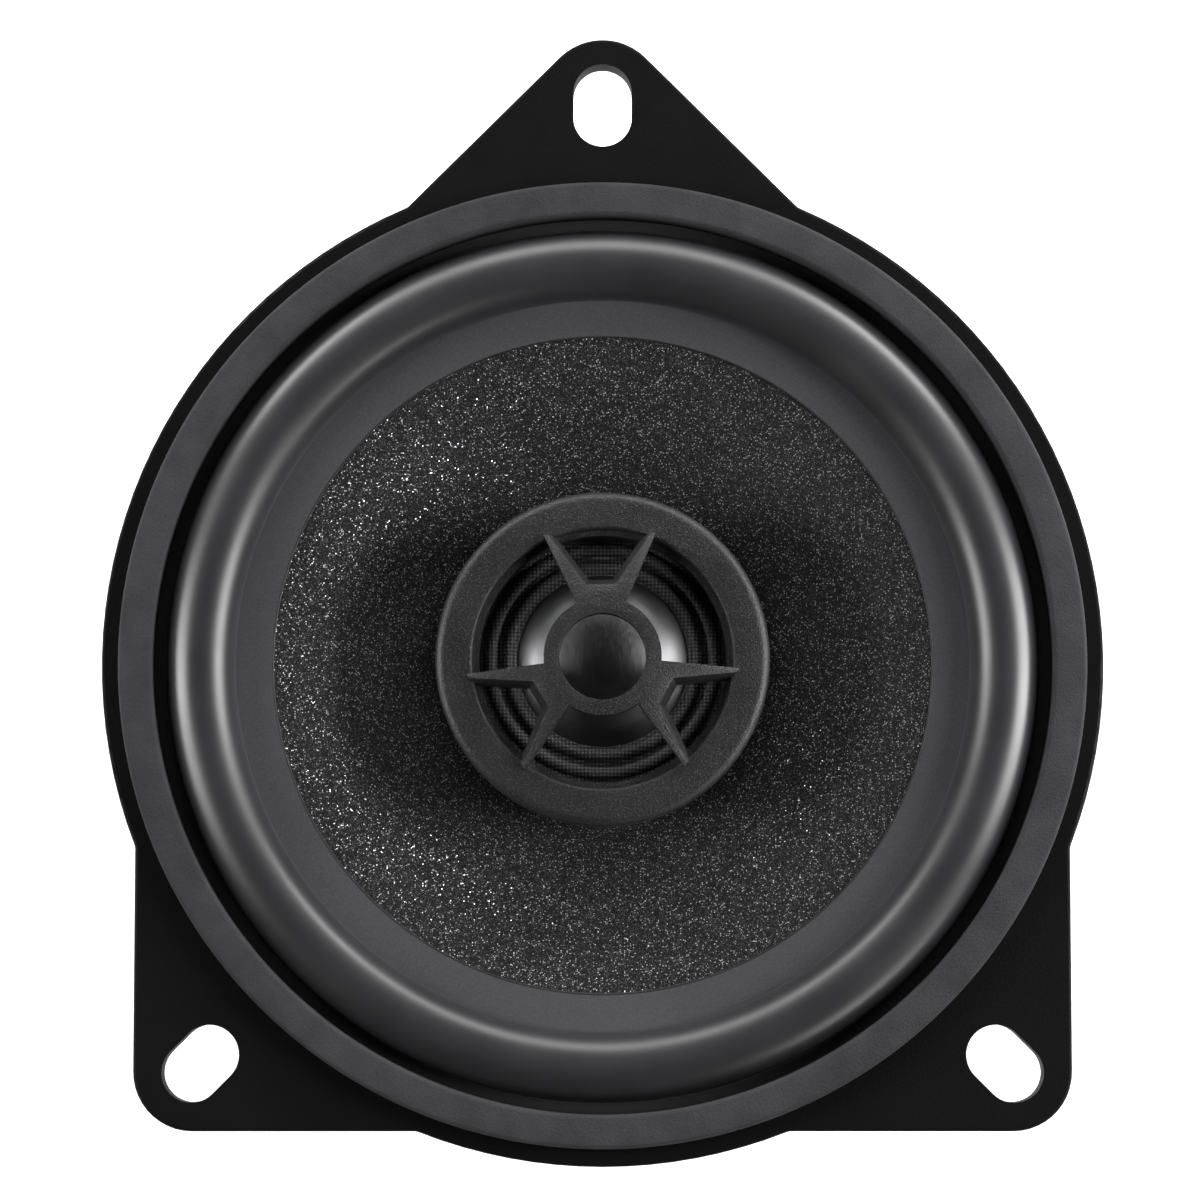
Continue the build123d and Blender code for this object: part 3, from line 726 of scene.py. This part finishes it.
@dataclass(frozen=True)
class Sleeving:
    """Smooth extruded plastic, as on a wire or a shrink sleeve."""

    colour: Colour
    roughness: float = 0.38
    wave_mm: float = 1.6
    wave_depth_mm: float = 0.02
    cloud_mm: float = 3.0

    def make(self, name: str) -> bpy.types.Material:
        """Makes the material.

        Args:
            name: The material's name.

        Returns:
            The finished material.
        """
        g = Graph(name)
        wave = g.noise(self.wave_mm, 2.0)
        tone = g.ramp(g.noise(self.cloud_mm), *NOISE_RANGE)
        return g.finish(
            Base_Color=g.mix(tone, shaded(self.colour, 0.8), self.colour),
            Roughness=g.ramp(wave, *NOISE_RANGE, (self.roughness - 0.05, self.roughness + 0.08)),
            Specular_IOR_Level=0.5,
            Normal=g.bump(wave, self.wave_depth_mm),
        )


FINISHES: dict[str, Finish] = {
    "moulded_basket": MouldedPlastic(
        (0.0026, 0.0026, 0.0028), 0.6, pebble_mm=0.34, pebble_depth_mm=0.022, speck=0.03, gloss=0.07
    ),
    "sponge": Sponge((0.025, 0.0247, 0.0267)),
    "surround_rubber": SatinRubber(
        (0.017, 0.017, 0.0185),
        0.37,
        grain_depth_mm=0.005,
        gloss=0.62,
        matte_r_mm=42.2,
        painted_shade_r_mm=50.45,
    ),
    "cone_mica": MicaCone(),
    "former_film": GrainedMetal((0.55, 0.53, 0.48), 0.3),
    "coil_wire": WoundWire((0.62, 0.27, 0.11)),
    "solder": GrainedMetal((0.6, 0.6, 0.58), 0.25, grain_mm=0.4, length_ratio=2.0),
    "spider_cloth": WovenCloth(
        (0.20, 0.13, 0.05), (0.52, 0.38, 0.17), 0.45, Threads.PLAIN, roughness=0.75, depth_mm=0.06
    ),
    "tinsel": WovenCloth(
        (0.20, 0.09, 0.04), (0.66, 0.36, 0.18), 0.28, Threads.DIAGONAL, roughness=0.4, depth_mm=0.05
    ),
    "plated_steel": PlatedSteel((0.40, 0.395, 0.37)),
    "ferrite": Ferrite(),
    "boot_rubber": SatinRubber((0.016, 0.016, 0.017), 0.6, 0.3, grain_depth_mm=0.012, gloss=0.4),
    "black_screw": PlatedSteel((0.05, 0.05, 0.055), 0.3),
    "terminal_plastic": MouldedPlastic(
        (0.018, 0.018, 0.019), 0.45, pebble_mm=0.25, pebble_depth_mm=0.008
    ),
    "tinned_brass": GrainedMetal((0.74, 0.70, 0.58), 0.28, grain_mm=0.15, length_ratio=12.0),
    "capacitor_sleeve": Sleeving((0.012, 0.022, 0.055), 0.28),
    "heat_shrink": Sleeving((0.013, 0.013, 0.014), 0.42),
    "lead_red": Sleeving((0.42, 0.018, 0.016), 0.36),
    "lead_black": Sleeving((0.014, 0.014, 0.015), 0.36),
    "pod_plastic": MouldedPlastic(
        (0.014, 0.014, 0.015), 0.5, pebble_mm=0.3, pebble_depth_mm=0.012
    ),
    "neodymium": GrainedMetal((0.66, 0.65, 0.62), 0.18, grain_mm=0.3, length_ratio=2.0),
    "felt": Sponge((0.10, 0.10, 0.10), pore_mm=0.2),
    "tweeter_cloth": WovenCloth((0.003, 0.003, 0.003), (0.08, 0.08, 0.082), 0.3, depth_mm=0.06),
    "dome_metal": GrainedMetal(
        (0.15, 0.15, 0.153), 0.38, grain_mm=0.10, length_ratio=26.0, depth_mm=0.0002
    ),
    "bezel_plastic": MouldedPlastic(
        (0.0075, 0.0075, 0.0081), 0.42, pebble_mm=0.24, pebble_depth_mm=0.050, speck=1.0, gloss=0.35
    ),
}


class Palette:
    """Makes each finish once and hands it out by the record's material slot."""

    def __init__(self) -> None:
        """Starts with no material made."""
        self.made: dict[str, bpy.types.Material] = {}

    def get(self, slot: str) -> bpy.types.Material:
        """The finished material of a slot, made on its first use.

        Args:
            slot: The slot's name.

        Returns:
            Its material.
        """
        if slot not in self.made:
            self.made[slot] = FINISHES[slot].make(slot)
        return self.made[slot]


# ---------------------------------------------------------------------------
# Mesh helpers
# ---------------------------------------------------------------------------


def arc(middle: Point, radius: float, start_deg: float, end_deg: float, steps: int) -> list[Point]:
    """Points along an arc in the (radius, height) plane.

    Args:
        middle: The arc's centre.
        radius: Its radius.
        start_deg: Its first angle, from the radial direction.
        end_deg: Its last angle.
        steps: How many segments it has.

    Returns:
        The points, both ends included.
    """
    turn = (end_deg - start_deg) / steps
    angles = [math.radians(start_deg + turn * n) for n in range(steps + 1)]
    return [(middle[0] + radius * math.cos(a), middle[1] + radius * math.sin(a)) for a in angles]


def bowed(start: Point, end: Point, rise: float, steps: int) -> list[Point]:
    """Points along an arc whose middle stands off the straight line, to its left.

    Args:
        start: The first point.
        end: The last point.
        rise: How far the middle stands off.
        steps: How many segments it has.

    Returns:
        The points, both ends included.
    """
    a, b = Vector(start), Vector(end)
    run = b - a
    half = run.length / 2
    side = Vector((-run.y, run.x)).normalized()
    radius = (half * half + rise * rise) / (2 * rise)
    centre = (a + b) / 2 + side * (rise - radius)
    spread = math.asin(max(-1.0, min(1.0, half / radius)))
    points = []
    for n in range(steps + 1):
        angle = spread * (1 - 2 * n / steps)
        ray = side * math.cos(angle) * radius - run.normalized() * math.sin(angle) * radius
        points.append(tuple(centre + ray))
    return points


def turned_mesh(
    name: str, outline: Sequence[Point], steps: int = FULL_TURN_STEPS, sharp_deg: float = 180.0
) -> bpy.types.Object:
    """Spins a closed outline about the speaker's axis.

    Args:
        name: The new object's name.
        outline: Its (radius, height) corners in order.
        steps: How many segments go round.
        sharp_deg: Edges that turn more than this stay sharp.

    Returns:
        The new object, at the origin, with smooth faces that point outwards.
    """
    bm = bmesh.new()
    corners = [bm.verts.new((max(r, 0.0), 0.0, z)) for r, z in outline]
    edges = [bm.edges.new(pair) for pair in zip(corners, corners[1:] + corners[:1])]
    bmesh.ops.spin(
        bm,
        geom=corners + edges,
        axis=(0, 0, 1),
        cent=(0, 0, 0),
        angle=2 * math.pi,
        steps=steps,
        use_merge=True,
    )
    bmesh.ops.remove_doubles(bm, verts=bm.verts, dist=WELD)
    bmesh.ops.recalc_face_normals(bm, faces=bm.faces)
    return as_object(name, bm, sharp_deg)


def sector_mesh(
    name: str, outline: Sequence[Point], start_deg: float, sweep_deg: float, steps: int
) -> bpy.types.Object:
    """Spins an outline through part of a turn, with both ends closed.

    Args:
        name: The new object's name.
        outline: Its (radius, height) corners in order.
        start_deg: The angle of its first end.
        sweep_deg: How far it reaches round.
        steps: How many segments it has.

    Returns:
        The new object.
    """
    bm = bmesh.new()
    end = bm.faces.new([bm.verts.new((r, 0.0, z)) for r, z in outline])
    turn = Matrix.Rotation(math.radians(start_deg), 4, "Z")
    bmesh.ops.transform(bm, matrix=turn, verts=bm.verts)
    cap = bmesh.ops.duplicate(bm, geom=[*end.verts, *end.edges, end])["geom"]
    bmesh.ops.spin(
        bm,
        geom=cap,
        axis=(0, 0, 1),
        cent=(0, 0, 0),
        angle=math.radians(sweep_deg),
        steps=steps,
    )
    bmesh.ops.remove_doubles(bm, verts=bm.verts, dist=WELD)
    bmesh.ops.recalc_face_normals(bm, faces=bm.faces)
    return as_object(name, bm, SECTOR_SHARP_DEG)


def merged_copy(node: bpy.types.Object) -> bmesh.types.BMesh:
    """Copies a frame node's loose triangles and merges them into one skin.

    Args:
        node: The node's object, which is left as it is.

    Returns:
        A bmesh of the copy.
    """
    bm = bmesh.new()
    bm.from_mesh(node.data)
    bmesh.ops.remove_doubles(bm, verts=bm.verts, dist=LOOSE_WELD)
    return bm


def as_object(name: str, bm: bmesh.types.BMesh, smooth_deg: float = 180.0) -> bpy.types.Object:
    """Turns a bmesh into an object of the scene.

    Args:
        name: The new object's name.
        bm: The bmesh, which is freed.
        smooth_deg: Edges that turn more than this stay sharp.

    Returns:
        The new object.
    """
    limit = math.radians(smooth_deg)
    for face in bm.faces:
        face.smooth = True
    for edge in bm.edges:
        edge.smooth = edge.calc_face_angle(0.0) <= limit
    mesh = bpy.data.meshes.new(name)
    bm.to_mesh(mesh)
    bm.free()
    piece = bpy.data.objects.new(name, mesh)
    bpy.context.scene.collection.objects.link(piece)
    return piece


@dataclass
class Workshop:
    """What every sub-assembly needs: the frame's nodes, their slots and the finishes."""

    nodes: dict[str, bpy.types.Object]
    slots: dict[str, str]
    palette: Palette

    def dress(self, piece: bpy.types.Object, slot: str) -> None:
        """Gives a piece the material of a slot."""
        piece.data.materials.clear()
        piece.data.materials.append(self.palette.get(slot))

    def keep(self, nodes: Iterable[str]) -> None:
        """Shows nodes of the frame as they are, each in its slot's finish.

        Args:
            nodes: The nodes' names.
        """
        for node in nodes:
            self.dress(self.nodes[node], self.slots[node])
            LOG.info("%s keeps its frame mesh, finish %s", node, self.slots[node])

    def add(self, piece: bpy.types.Object, slot: str, body: Body | None) -> None:
        """Shows a new piece.

        Args:
            piece: The new piece.
            slot: The material slot.
            body: The body that it rides on, or None to leave it on no body.
        """
        self.dress(piece, slot)
        if body is not None:
            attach(piece, body.value)
        LOG.info("%s made, %d faces, finish %s", piece.name, len(piece.data.polygons), slot)

    def stand_in(
        self, piece: bpy.types.Object, nodes: Iterable[str], slot: str, body: Body | None
    ) -> None:
        """Shows a new piece in place of frame nodes.

        Args:
            piece: The new piece.
            nodes: The nodes that it stands for.
            slot: The material slot.
            body: The body that it rides on, or None to leave it on no body.
        """
        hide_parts(*nodes)
        self.add(piece, slot, body)


@dataclass(frozen=True)
class Ring:
    """A flexible ring that is made in equal sectors."""

    node: str
    slot: str
    outline: Sequence[Point]
    sectors: int
    steps: int


def make_flexible_ring(
    shop: Workshop, ring: Ring
) -> None:
    """Makes a ring as equal sectors, each a piece of its own.

    Args:
        shop: The workshop.
        ring: The ring's section and how it is divided.
    """
    sweep = 360 / ring.sectors
    for n in range(ring.sectors):
        name = f"{ring.node}_sector_{n + 1:02d}"
        piece = sector_mesh(name, ring.outline, n * sweep, sweep, ring.steps)
        shop.stand_in(piece, [ring.node], ring.slot, None)
        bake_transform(piece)


# ---------------------------------------------------------------------------
# Sub-assemblies
# ---------------------------------------------------------------------------


@dataclass
class Chassis:
    """The basket with its front gasket."""

    shop: Workshop
    gasket_round: float = 0.55 * MM
    spigot_share: float = 0.3  # of the ring's height that sits inside the flange
    round_steps: int = 6

    def build(self) -> None:
        """Dresses the basket and makes the gasket ring."""
        self.shop.keep(["basket"])
        self.make_gasket()

    def make_gasket(self) -> None:
        """Makes the sponge ring with soft edges."""
        span = Span.of(self.shop.nodes["front_gasket"])
        r = self.gasket_round
        foot_z = span.low + (span.high - span.low) * self.spigot_share
        outline = [
            (span.inner, span.low),
            (span.outer, foot_z),
            *arc((span.outer - r, span.high - r), r, 0, 90, self.round_steps),
            *arc((span.inner + r, span.high - r), r, 90, 180, self.round_steps),
        ]
        ring = turned_mesh("front_gasket_ring", outline)
        self.shop.stand_in(ring, ["front_gasket"], "sponge", Body.ROOT)


@dataclass
class ConeAssembly:
    """The cone with its surround, spider, voice coil and tinsel leads.

    Its flexible pieces ride on no moving body.
    """

    shop: Workshop
    roll_outer_r: float = 50.4 * MM
    roll_inner_r: float = 42.3 * MM
    rubber_t: float = 0.5 * MM
    landing_edge_t: float = 0.12 * MM  # the landing thins towards the cone
    crest_cut_deg: float = 0.15  # a last short step keeps the crest's shading unbroken
    roll_steps: int = 26
    roll_sharp_deg: float = 40.0
    bead_r: float = 0.16 * MM
    bead_sides: int = 8
    spider_t: float = 0.4 * MM
    spider_rim_w: float = 3.0 * MM
    spider_neck_w: float = 1.0 * MM
    corrugations: int = 8
    corrugation_h: float = 0.8 * MM
    corrugation_steps: int = 8
    sectors: int = 12
    sector_steps: int = 14
    lead_step: float = 1.2 * MM
    lead_sharp_deg: float = 50.0
    lead_clamped: float = 0.08  # the share of its length at each end that doesn't bend

    def build(self) -> None:
        """Dresses the rigid pieces and makes the flexible ones."""
        self.shop.keep(["cone", "voice_coil_former", "voice_coil_winding", "coil_lead_pads"])
        self.make_surround()
        self.make_glue_line()
        self.make_spider()
        for side in ("positive", "negative"):
            self.make_tinsel_lead(f"tinsel_lead_{side}")

    def make_surround(self) -> None:
        """Makes the half roll in two rings that meet at its crest."""
        span = Span.of(self.shop.nodes["surround"])
        crest_r = (self.roll_outer_r + self.roll_inner_r) / 2
        outer = (self.roll_outer_r - self.roll_inner_r) / 2
        inner = outer - self.rubber_t
        top = span.low + self.rubber_t
        middle = (crest_r, top)
        side, cut = self.roll_steps, 90 - self.crest_cut_deg
        outward = [
            (span.outer, span.low),
            (span.outer, top),
            *arc(middle, outer, 0, cut, side),
            (crest_r, top + outer),
            (crest_r, top + inner),
            *arc(middle, inner, cut, 0, side),
            (crest_r + inner, span.low),
        ]
        inward = [
            (span.inner, span.low),
            (crest_r - inner, span.low),
            *arc(middle, inner, 180, 180 - cut, side),
            (crest_r, top + inner),
            (crest_r, top + outer),
            *arc(middle, outer, 180 - cut, 180, side),
            (span.inner, span.low + self.landing_edge_t),
        ]
        foot, mirror_z = (0, 0, top), (0, 0, top + 2 * outer)
        for name, outline, start, end in (
            ("surround_outer_half", outward, foot, mirror_z),
            ("surround_inner_half", inward, mirror_z, foot),
        ):
            half = turned_mesh(name, outline, sharp_deg=self.roll_sharp_deg)
            self.shop.stand_in(half, ["surround"], "surround_rubber", None)
            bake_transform(half)

    def make_glue_line(self) -> None:
        """Makes the thin bead of black glue where the rubber ends on the cone."""
        rubber, cone = (Span.of(self.shop.nodes[n]) for n in ("surround", "cone"))
        sides = self.bead_sides
        outline = arc((rubber.inner, cone.high), self.bead_r, 0, 360 - 360 / sides, sides - 1)
        bead = turned_mesh("cone_glue_line", outline)
        self.shop.add(bead, "heat_shrink", Body.CONE)

    def spider_outline(self) -> list[Point]:
        """The spider's section: flat neck, half-wave corrugations and flat rim.

        Returns:
            Its closed outline.
        """
        span = Span.of(self.shop.nodes["spider"])
        seat = (span.low + span.high - self.spider_t) / 2
        first = span.inner + self.spider_neck_w
        step = (span.outer - self.spider_rim_w - first) / self.corrugations
        wave: list[Point] = [(span.inner, seat)]
        for n in range(self.corrugations):
            a, b = (first + n * step, seat), (first + (n + 1) * step, seat)
            rise = self.corrugation_h if n % 2 else -self.corrugation_h
            wave += bowed(a, b, rise, self.corrugation_steps)[:-1]
        wave += [(span.outer - self.spider_rim_w, seat), (span.outer, seat)]
        return wave + [(r, z + self.spider_t) for r, z in reversed(wave)]

    def make_spider(self) -> None:
        """Makes the corrugated cloth disc in sectors."""
        span = Span.of(self.shop.nodes["spider"])
        make_flexible_ring(
            self.shop,
            Ring("spider", "spider_cloth", self.spider_outline(), self.sectors, self.sector_steps),
        )

    def make_tinsel_lead(self, node: str) -> None:
        """Makes a finely divided copy of a lead, which runs from its blade's tab to its pad on the coil.

        Args:
            node: The lead's node in the frame.
        """
        bm = merged_copy(self.shop.nodes[node])
        while long_edges := [e for e in bm.edges if e.calc_length() > 2 * self.lead_step]:
            bmesh.ops.subdivide_edges(bm, edges=long_edges, cuts=1)
            bmesh.ops.triangulate(bm, faces=[f for f in bm.faces if len(f.verts) > 4])
        bmesh.ops.recalc_face_normals(bm, faces=bm.faces)
        lead = as_object(node + "_braid", bm, self.lead_sharp_deg)
        self.shop.stand_in(lead, [node], "tinsel", None)
        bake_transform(lead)


@dataclass
class Motor:
    """The magnet between its steel plates, with the boot and the screws."""

    shop: Workshop

    def build(self) -> None:
        """Dresses the motor's pieces, which keep their frame meshes."""
        self.shop.keep(["top_plate", "magnet", "yoke", "magnet_boot", "motor_screws"])


@dataclass
class Crossover:
    """The terminals and the capacitor with its leads up to the tweeter."""

    shop: Workshop

    def build(self) -> None:
        """Dresses the wired pieces, which keep their frame meshes."""
        self.shop.keep(["terminal_block", "terminal_blade_wide", "terminal_blade_narrow"])
        self.shop.keep(["capacitor", "capacitor_lead_terminal", "capacitor_lead_tweeter"])
        self.shop.keep(["splice_sleeve", "tweeter_lead_positive", "tweeter_lead_negative"])


@dataclass
class Tweeter:
    """The dome tweeter on its post, with its cloth ring and guarded bezel."""

    shop: Workshop
    cloth_t: float = 0.2 * MM
    inner_roll: Point = (10.15 * MM, 11.5 * MM)
    outer_roll: Point = (12.1 * MM, 13.6 * MM)
    roll_h: float = 0.75 * MM
    roll_steps: int = 12
    sectors: int = 12
    sector_steps: int = 12
    dip_share: float = 1 / 3  # how deep the cloth dips between its rolls, as a share of roll_h
    flat_deg: float = 0.6  # frame triangles that turn less than this are one face
    edge_round: float = 0.16 * MM
    edge_steps: int = 3
    edge_deg: float = 32.0

    def build(self) -> None:
        """Dresses the rigid pieces and makes the cloth ring and the bezel."""
        self.shop.keep(["tweeter_post", "post_nut", "tweeter_housing", "tweeter_frame"])
        self.shop.keep(["tweeter_yoke", "tweeter_magnet", "tweeter_pole_plate", "tweeter_damper"])
        self.shop.keep(["tweeter_dome", "tweeter_coil_former", "tweeter_coil_winding"])
        self.make_cloth()
        self.make_bezel()

    def make_cloth(self) -> None:
        """Makes the cloth ring with its two small rolls, in sectors."""
        span = Span.of(self.shop.nodes["tweeter_surround"])
        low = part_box("tweeter_dome")[0][2]
        inner_start, inner_end = self.inner_roll
        outer_start, outer_end = self.outer_roll
        dip = self.roll_h * self.dip_share
        wave = [
            (span.inner, low),
            *bowed((inner_start, low), (inner_end, low), self.roll_h, self.roll_steps)[:-1],
            *bowed((inner_end, low), (outer_start, low), -dip, self.roll_steps // 2)[:-1],
            *bowed((outer_start, low), (outer_end, low), self.roll_h, self.roll_steps),
            (span.outer, low),
        ]
        outline = wave + [(r, z + self.cloth_t) for r, z in reversed(wave)]
        make_flexible_ring(
            self.shop,
            Ring("tweeter_surround", "tweeter_cloth", outline, self.sectors, self.sector_steps),
        )

    def make_bezel(self) -> None:
        """Makes the bezel with every moulded edge softly rounded."""
        bm = merged_copy(self.shop.nodes["tweeter_bezel"])
        flat = math.radians(self.flat_deg)
        bmesh.ops.dissolve_limit(bm, angle_limit=flat, verts=bm.verts, edges=bm.edges)
        limit = math.radians(self.edge_deg)
        sharp = [e for e in bm.edges if e.calc_face_angle(0.0) > limit]
        bmesh.ops.bevel(
            bm,
            geom=sharp,
            offset=self.edge_round,
            offset_type="OFFSET",
            segments=self.edge_steps,
            profile=0.5,
            affect="EDGES",
            material=-1,
            clamp_overlap=True,
        )
        bmesh.ops.recalc_face_normals(bm, faces=bm.faces)
        bezel = as_object("tweeter_bezel_rounded", bm, self.edge_deg)
        self.shop.stand_in(bezel, ["tweeter_bezel"], "bezel_plastic", Body.ROOT)


@dataclass(frozen=True)
class Softbox:
    """A soft lamp placed by its direction from the speaker."""

    name: str
    azimuth_deg: float  # anticlockwise from +X
    lean_deg: float  # away from the speaker's axis
    width: float
    height: float
    watts: float
    distance: float = 0.55

    def place(self) -> Vector:
        """Where the lamp hangs.

        Returns:
            Its place, with the speaker's mounting plane at the origin.
        """
        azimuth, lean = math.radians(self.azimuth_deg), math.radians(self.lean_deg)
        flat = math.sin(lean) * self.distance
        return Vector(
            (flat * math.cos(azimuth), flat * math.sin(azimuth), math.cos(lean) * self.distance)
        )


SOFTBOXES = (
    Softbox("lamp_right", 2, 67, 0.26, 0.40, 5.6),
    Softbox("lamp_left", 180, 68, 0.22, 0.38, 3.5),
    Softbox("lamp_back_right", 50, 74, 0.22, 0.22, 2.2),
    Softbox("lamp_back", 90, 66, 0.44, 0.24, 2.2),
    Softbox("lamp_back_left", 130, 74, 0.22, 0.22, 1.7),
    Softbox("lamp_front_right", -48, 72, 0.22, 0.20, 0.7),
)


@dataclass
class Studio:
    """A pale floor in a room with soft lamps, and the camera above the cone."""

    camera_distance: float = 0.505
    camera_elevation_deg: float = 85.0
    view_width: float = 0.1383
    aim: tuple[float, float, float] = (-0.0003, 0.0072, 0.0039)
    sensor_mm: float = 36.0
    wall_top: float = 0.06  # sine of the height above the horizon
    ceiling_from: float = 0.14
    ceiling: float = 0.012
    clip_start: float = 0.01
    floor_half_w: float = 3.0
    floor_colour: Colour = (0.8, 0.8, 0.8)
    floor_roughness: float = 0.9
    floor_glow: float = 0.55  # low enough that the contact shadow still shows

    def build(self, floor_z: float) -> None:
        """Makes floor, lamps, world and camera.

        Args:
            floor_z: The height that the speaker stands on.
        """
        self.make_floor(floor_z)
        self.make_world()
        for softbox in SOFTBOXES:
            self.make_lamp(softbox)
        self.make_camera()

    def make_floor(self, floor_z: float) -> None:
        """Makes the pale floor, which looks white to the camera and keeps a faint shadow.

        Args:
            floor_z: The floor's height.
        """
        bm = bmesh.new()
        bmesh.ops.create_grid(bm, x_segments=1, y_segments=1, size=self.floor_half_w)
        bmesh.ops.translate(bm, verts=bm.verts, vec=(0, 0, floor_z))
        floor = as_object("studio_floor", bm)
        g = Graph("studio_floor")
        g.finish(Base_Color=self.floor_colour, Roughness=self.floor_roughness)
        pale = g.shader.outputs[0]
        glow = g.add("Emission", Color=WHITE, Strength=self.floor_glow).outputs[0]
        lit, chosen = g.add("AddShader"), g.add("MixShader")
        path = g.add("LightPath").outputs
        seen = g.math("MAXIMUM", path["Is Camera Ray"], path["Is Glossy Ray"])
        seen = g.math("MAXIMUM", seen, path["Is Transmission Ray"])
        for socket, value in zip(lit.inputs, (pale, glow)):
            g.put(socket, value)
        for socket, value in zip(chosen.inputs, (seen, pale, lit.outputs[0])):
            g.put(socket, value)
        g.put(g.output.inputs[0], chosen.outputs[0])
        floor.data.materials.append(g.material)
        floor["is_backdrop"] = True

    def make_world(self) -> None:
        """Makes a studio room: pale walls low down, dark above."""
        world = bpy.data.worlds.new("studio_world")
        world.use_nodes = True
        tree = world.node_tree
        tree.nodes.clear()
        output = tree.nodes.new("ShaderNodeOutputWorld")
        room = tree.nodes.new("ShaderNodeBackground")
        place = tree.nodes.new("ShaderNodeTexCoord")
        split = tree.nodes.new("ShaderNodeSeparateXYZ")
        fade = tree.nodes.new("ShaderNodeMapRange")
        for index, value in enumerate((self.wall_top, self.ceiling_from, 1.0, self.ceiling)):
            fade.inputs[index + 1].default_value = value
        room.inputs[0].default_value = (*WHITE, 1.0)
        tree.links.new(place.outputs["Generated"], split.inputs[0])
        tree.links.new(split.outputs[2], fade.inputs[0])
        tree.links.new(fade.outputs[0], room.inputs[1])
        tree.links.new(room.outputs[0], output.inputs[0])
        bpy.context.scene.world = world

    def make_lamp(self, softbox: Softbox) -> None:
        """Makes a rectangular lamp that faces the speaker.

        Args:
            softbox: The lamp's place, size and power.
        """
        data = bpy.data.lights.new(softbox.name, "AREA")
        data.shape = "RECTANGLE"
        data.size, data.size_y = softbox.width, softbox.height
        data.energy = softbox.watts
        lamp = bpy.data.objects.new(softbox.name, data)
        lamp.location = softbox.place()
        lamp.rotation_euler = (-lamp.location).to_track_quat("-Z", "Y").to_euler()
        bpy.context.scene.collection.objects.link(lamp)

    def make_camera(self) -> None:
        """Makes the camera, aimed at the middle of the view."""
        data = bpy.data.cameras.new("camera")
        data.sensor_width = self.sensor_mm
        data.lens = self.sensor_mm * self.camera_distance / self.view_width
        data.clip_start = self.clip_start
        camera = bpy.data.objects.new("camera", data)
        tilt = math.radians(self.camera_elevation_deg)
        back = Vector((0, -math.cos(tilt), math.sin(tilt)))
        camera.location = Vector(self.aim) + back * self.camera_distance
        camera.rotation_euler = (-back).to_track_quat("-Z", "Y").to_euler()
        bpy.context.scene.collection.objects.link(camera)
        bpy.context.scene.camera = camera


def material_slots(record: dict) -> dict[str, str]:
    """The material slot of each node.

    Args:
        record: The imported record.

    Returns:
        Slot names by node name.
    """
    return {part["node"]: part["material_slot"] for part in record["subparts"]}


def main() -> None:
    """Builds every sub-assembly around the frame, then the studio."""
    logging.basicConfig(level=logging.INFO, format="%(name)s: %(message)s")
    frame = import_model()
    frame_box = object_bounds()
    shop = Workshop(frame["nodes"], material_slots(frame["record"]), Palette())
    for sub_assembly in (Chassis, Motor, Crossover, ConeAssembly, Tweeter):
        sub_assembly(shop).build()
    Studio().build(frame_box[0].z)
    bpy.context.scene.view_settings.view_transform = "Standard"


if __name__ == "__main__":
    main()
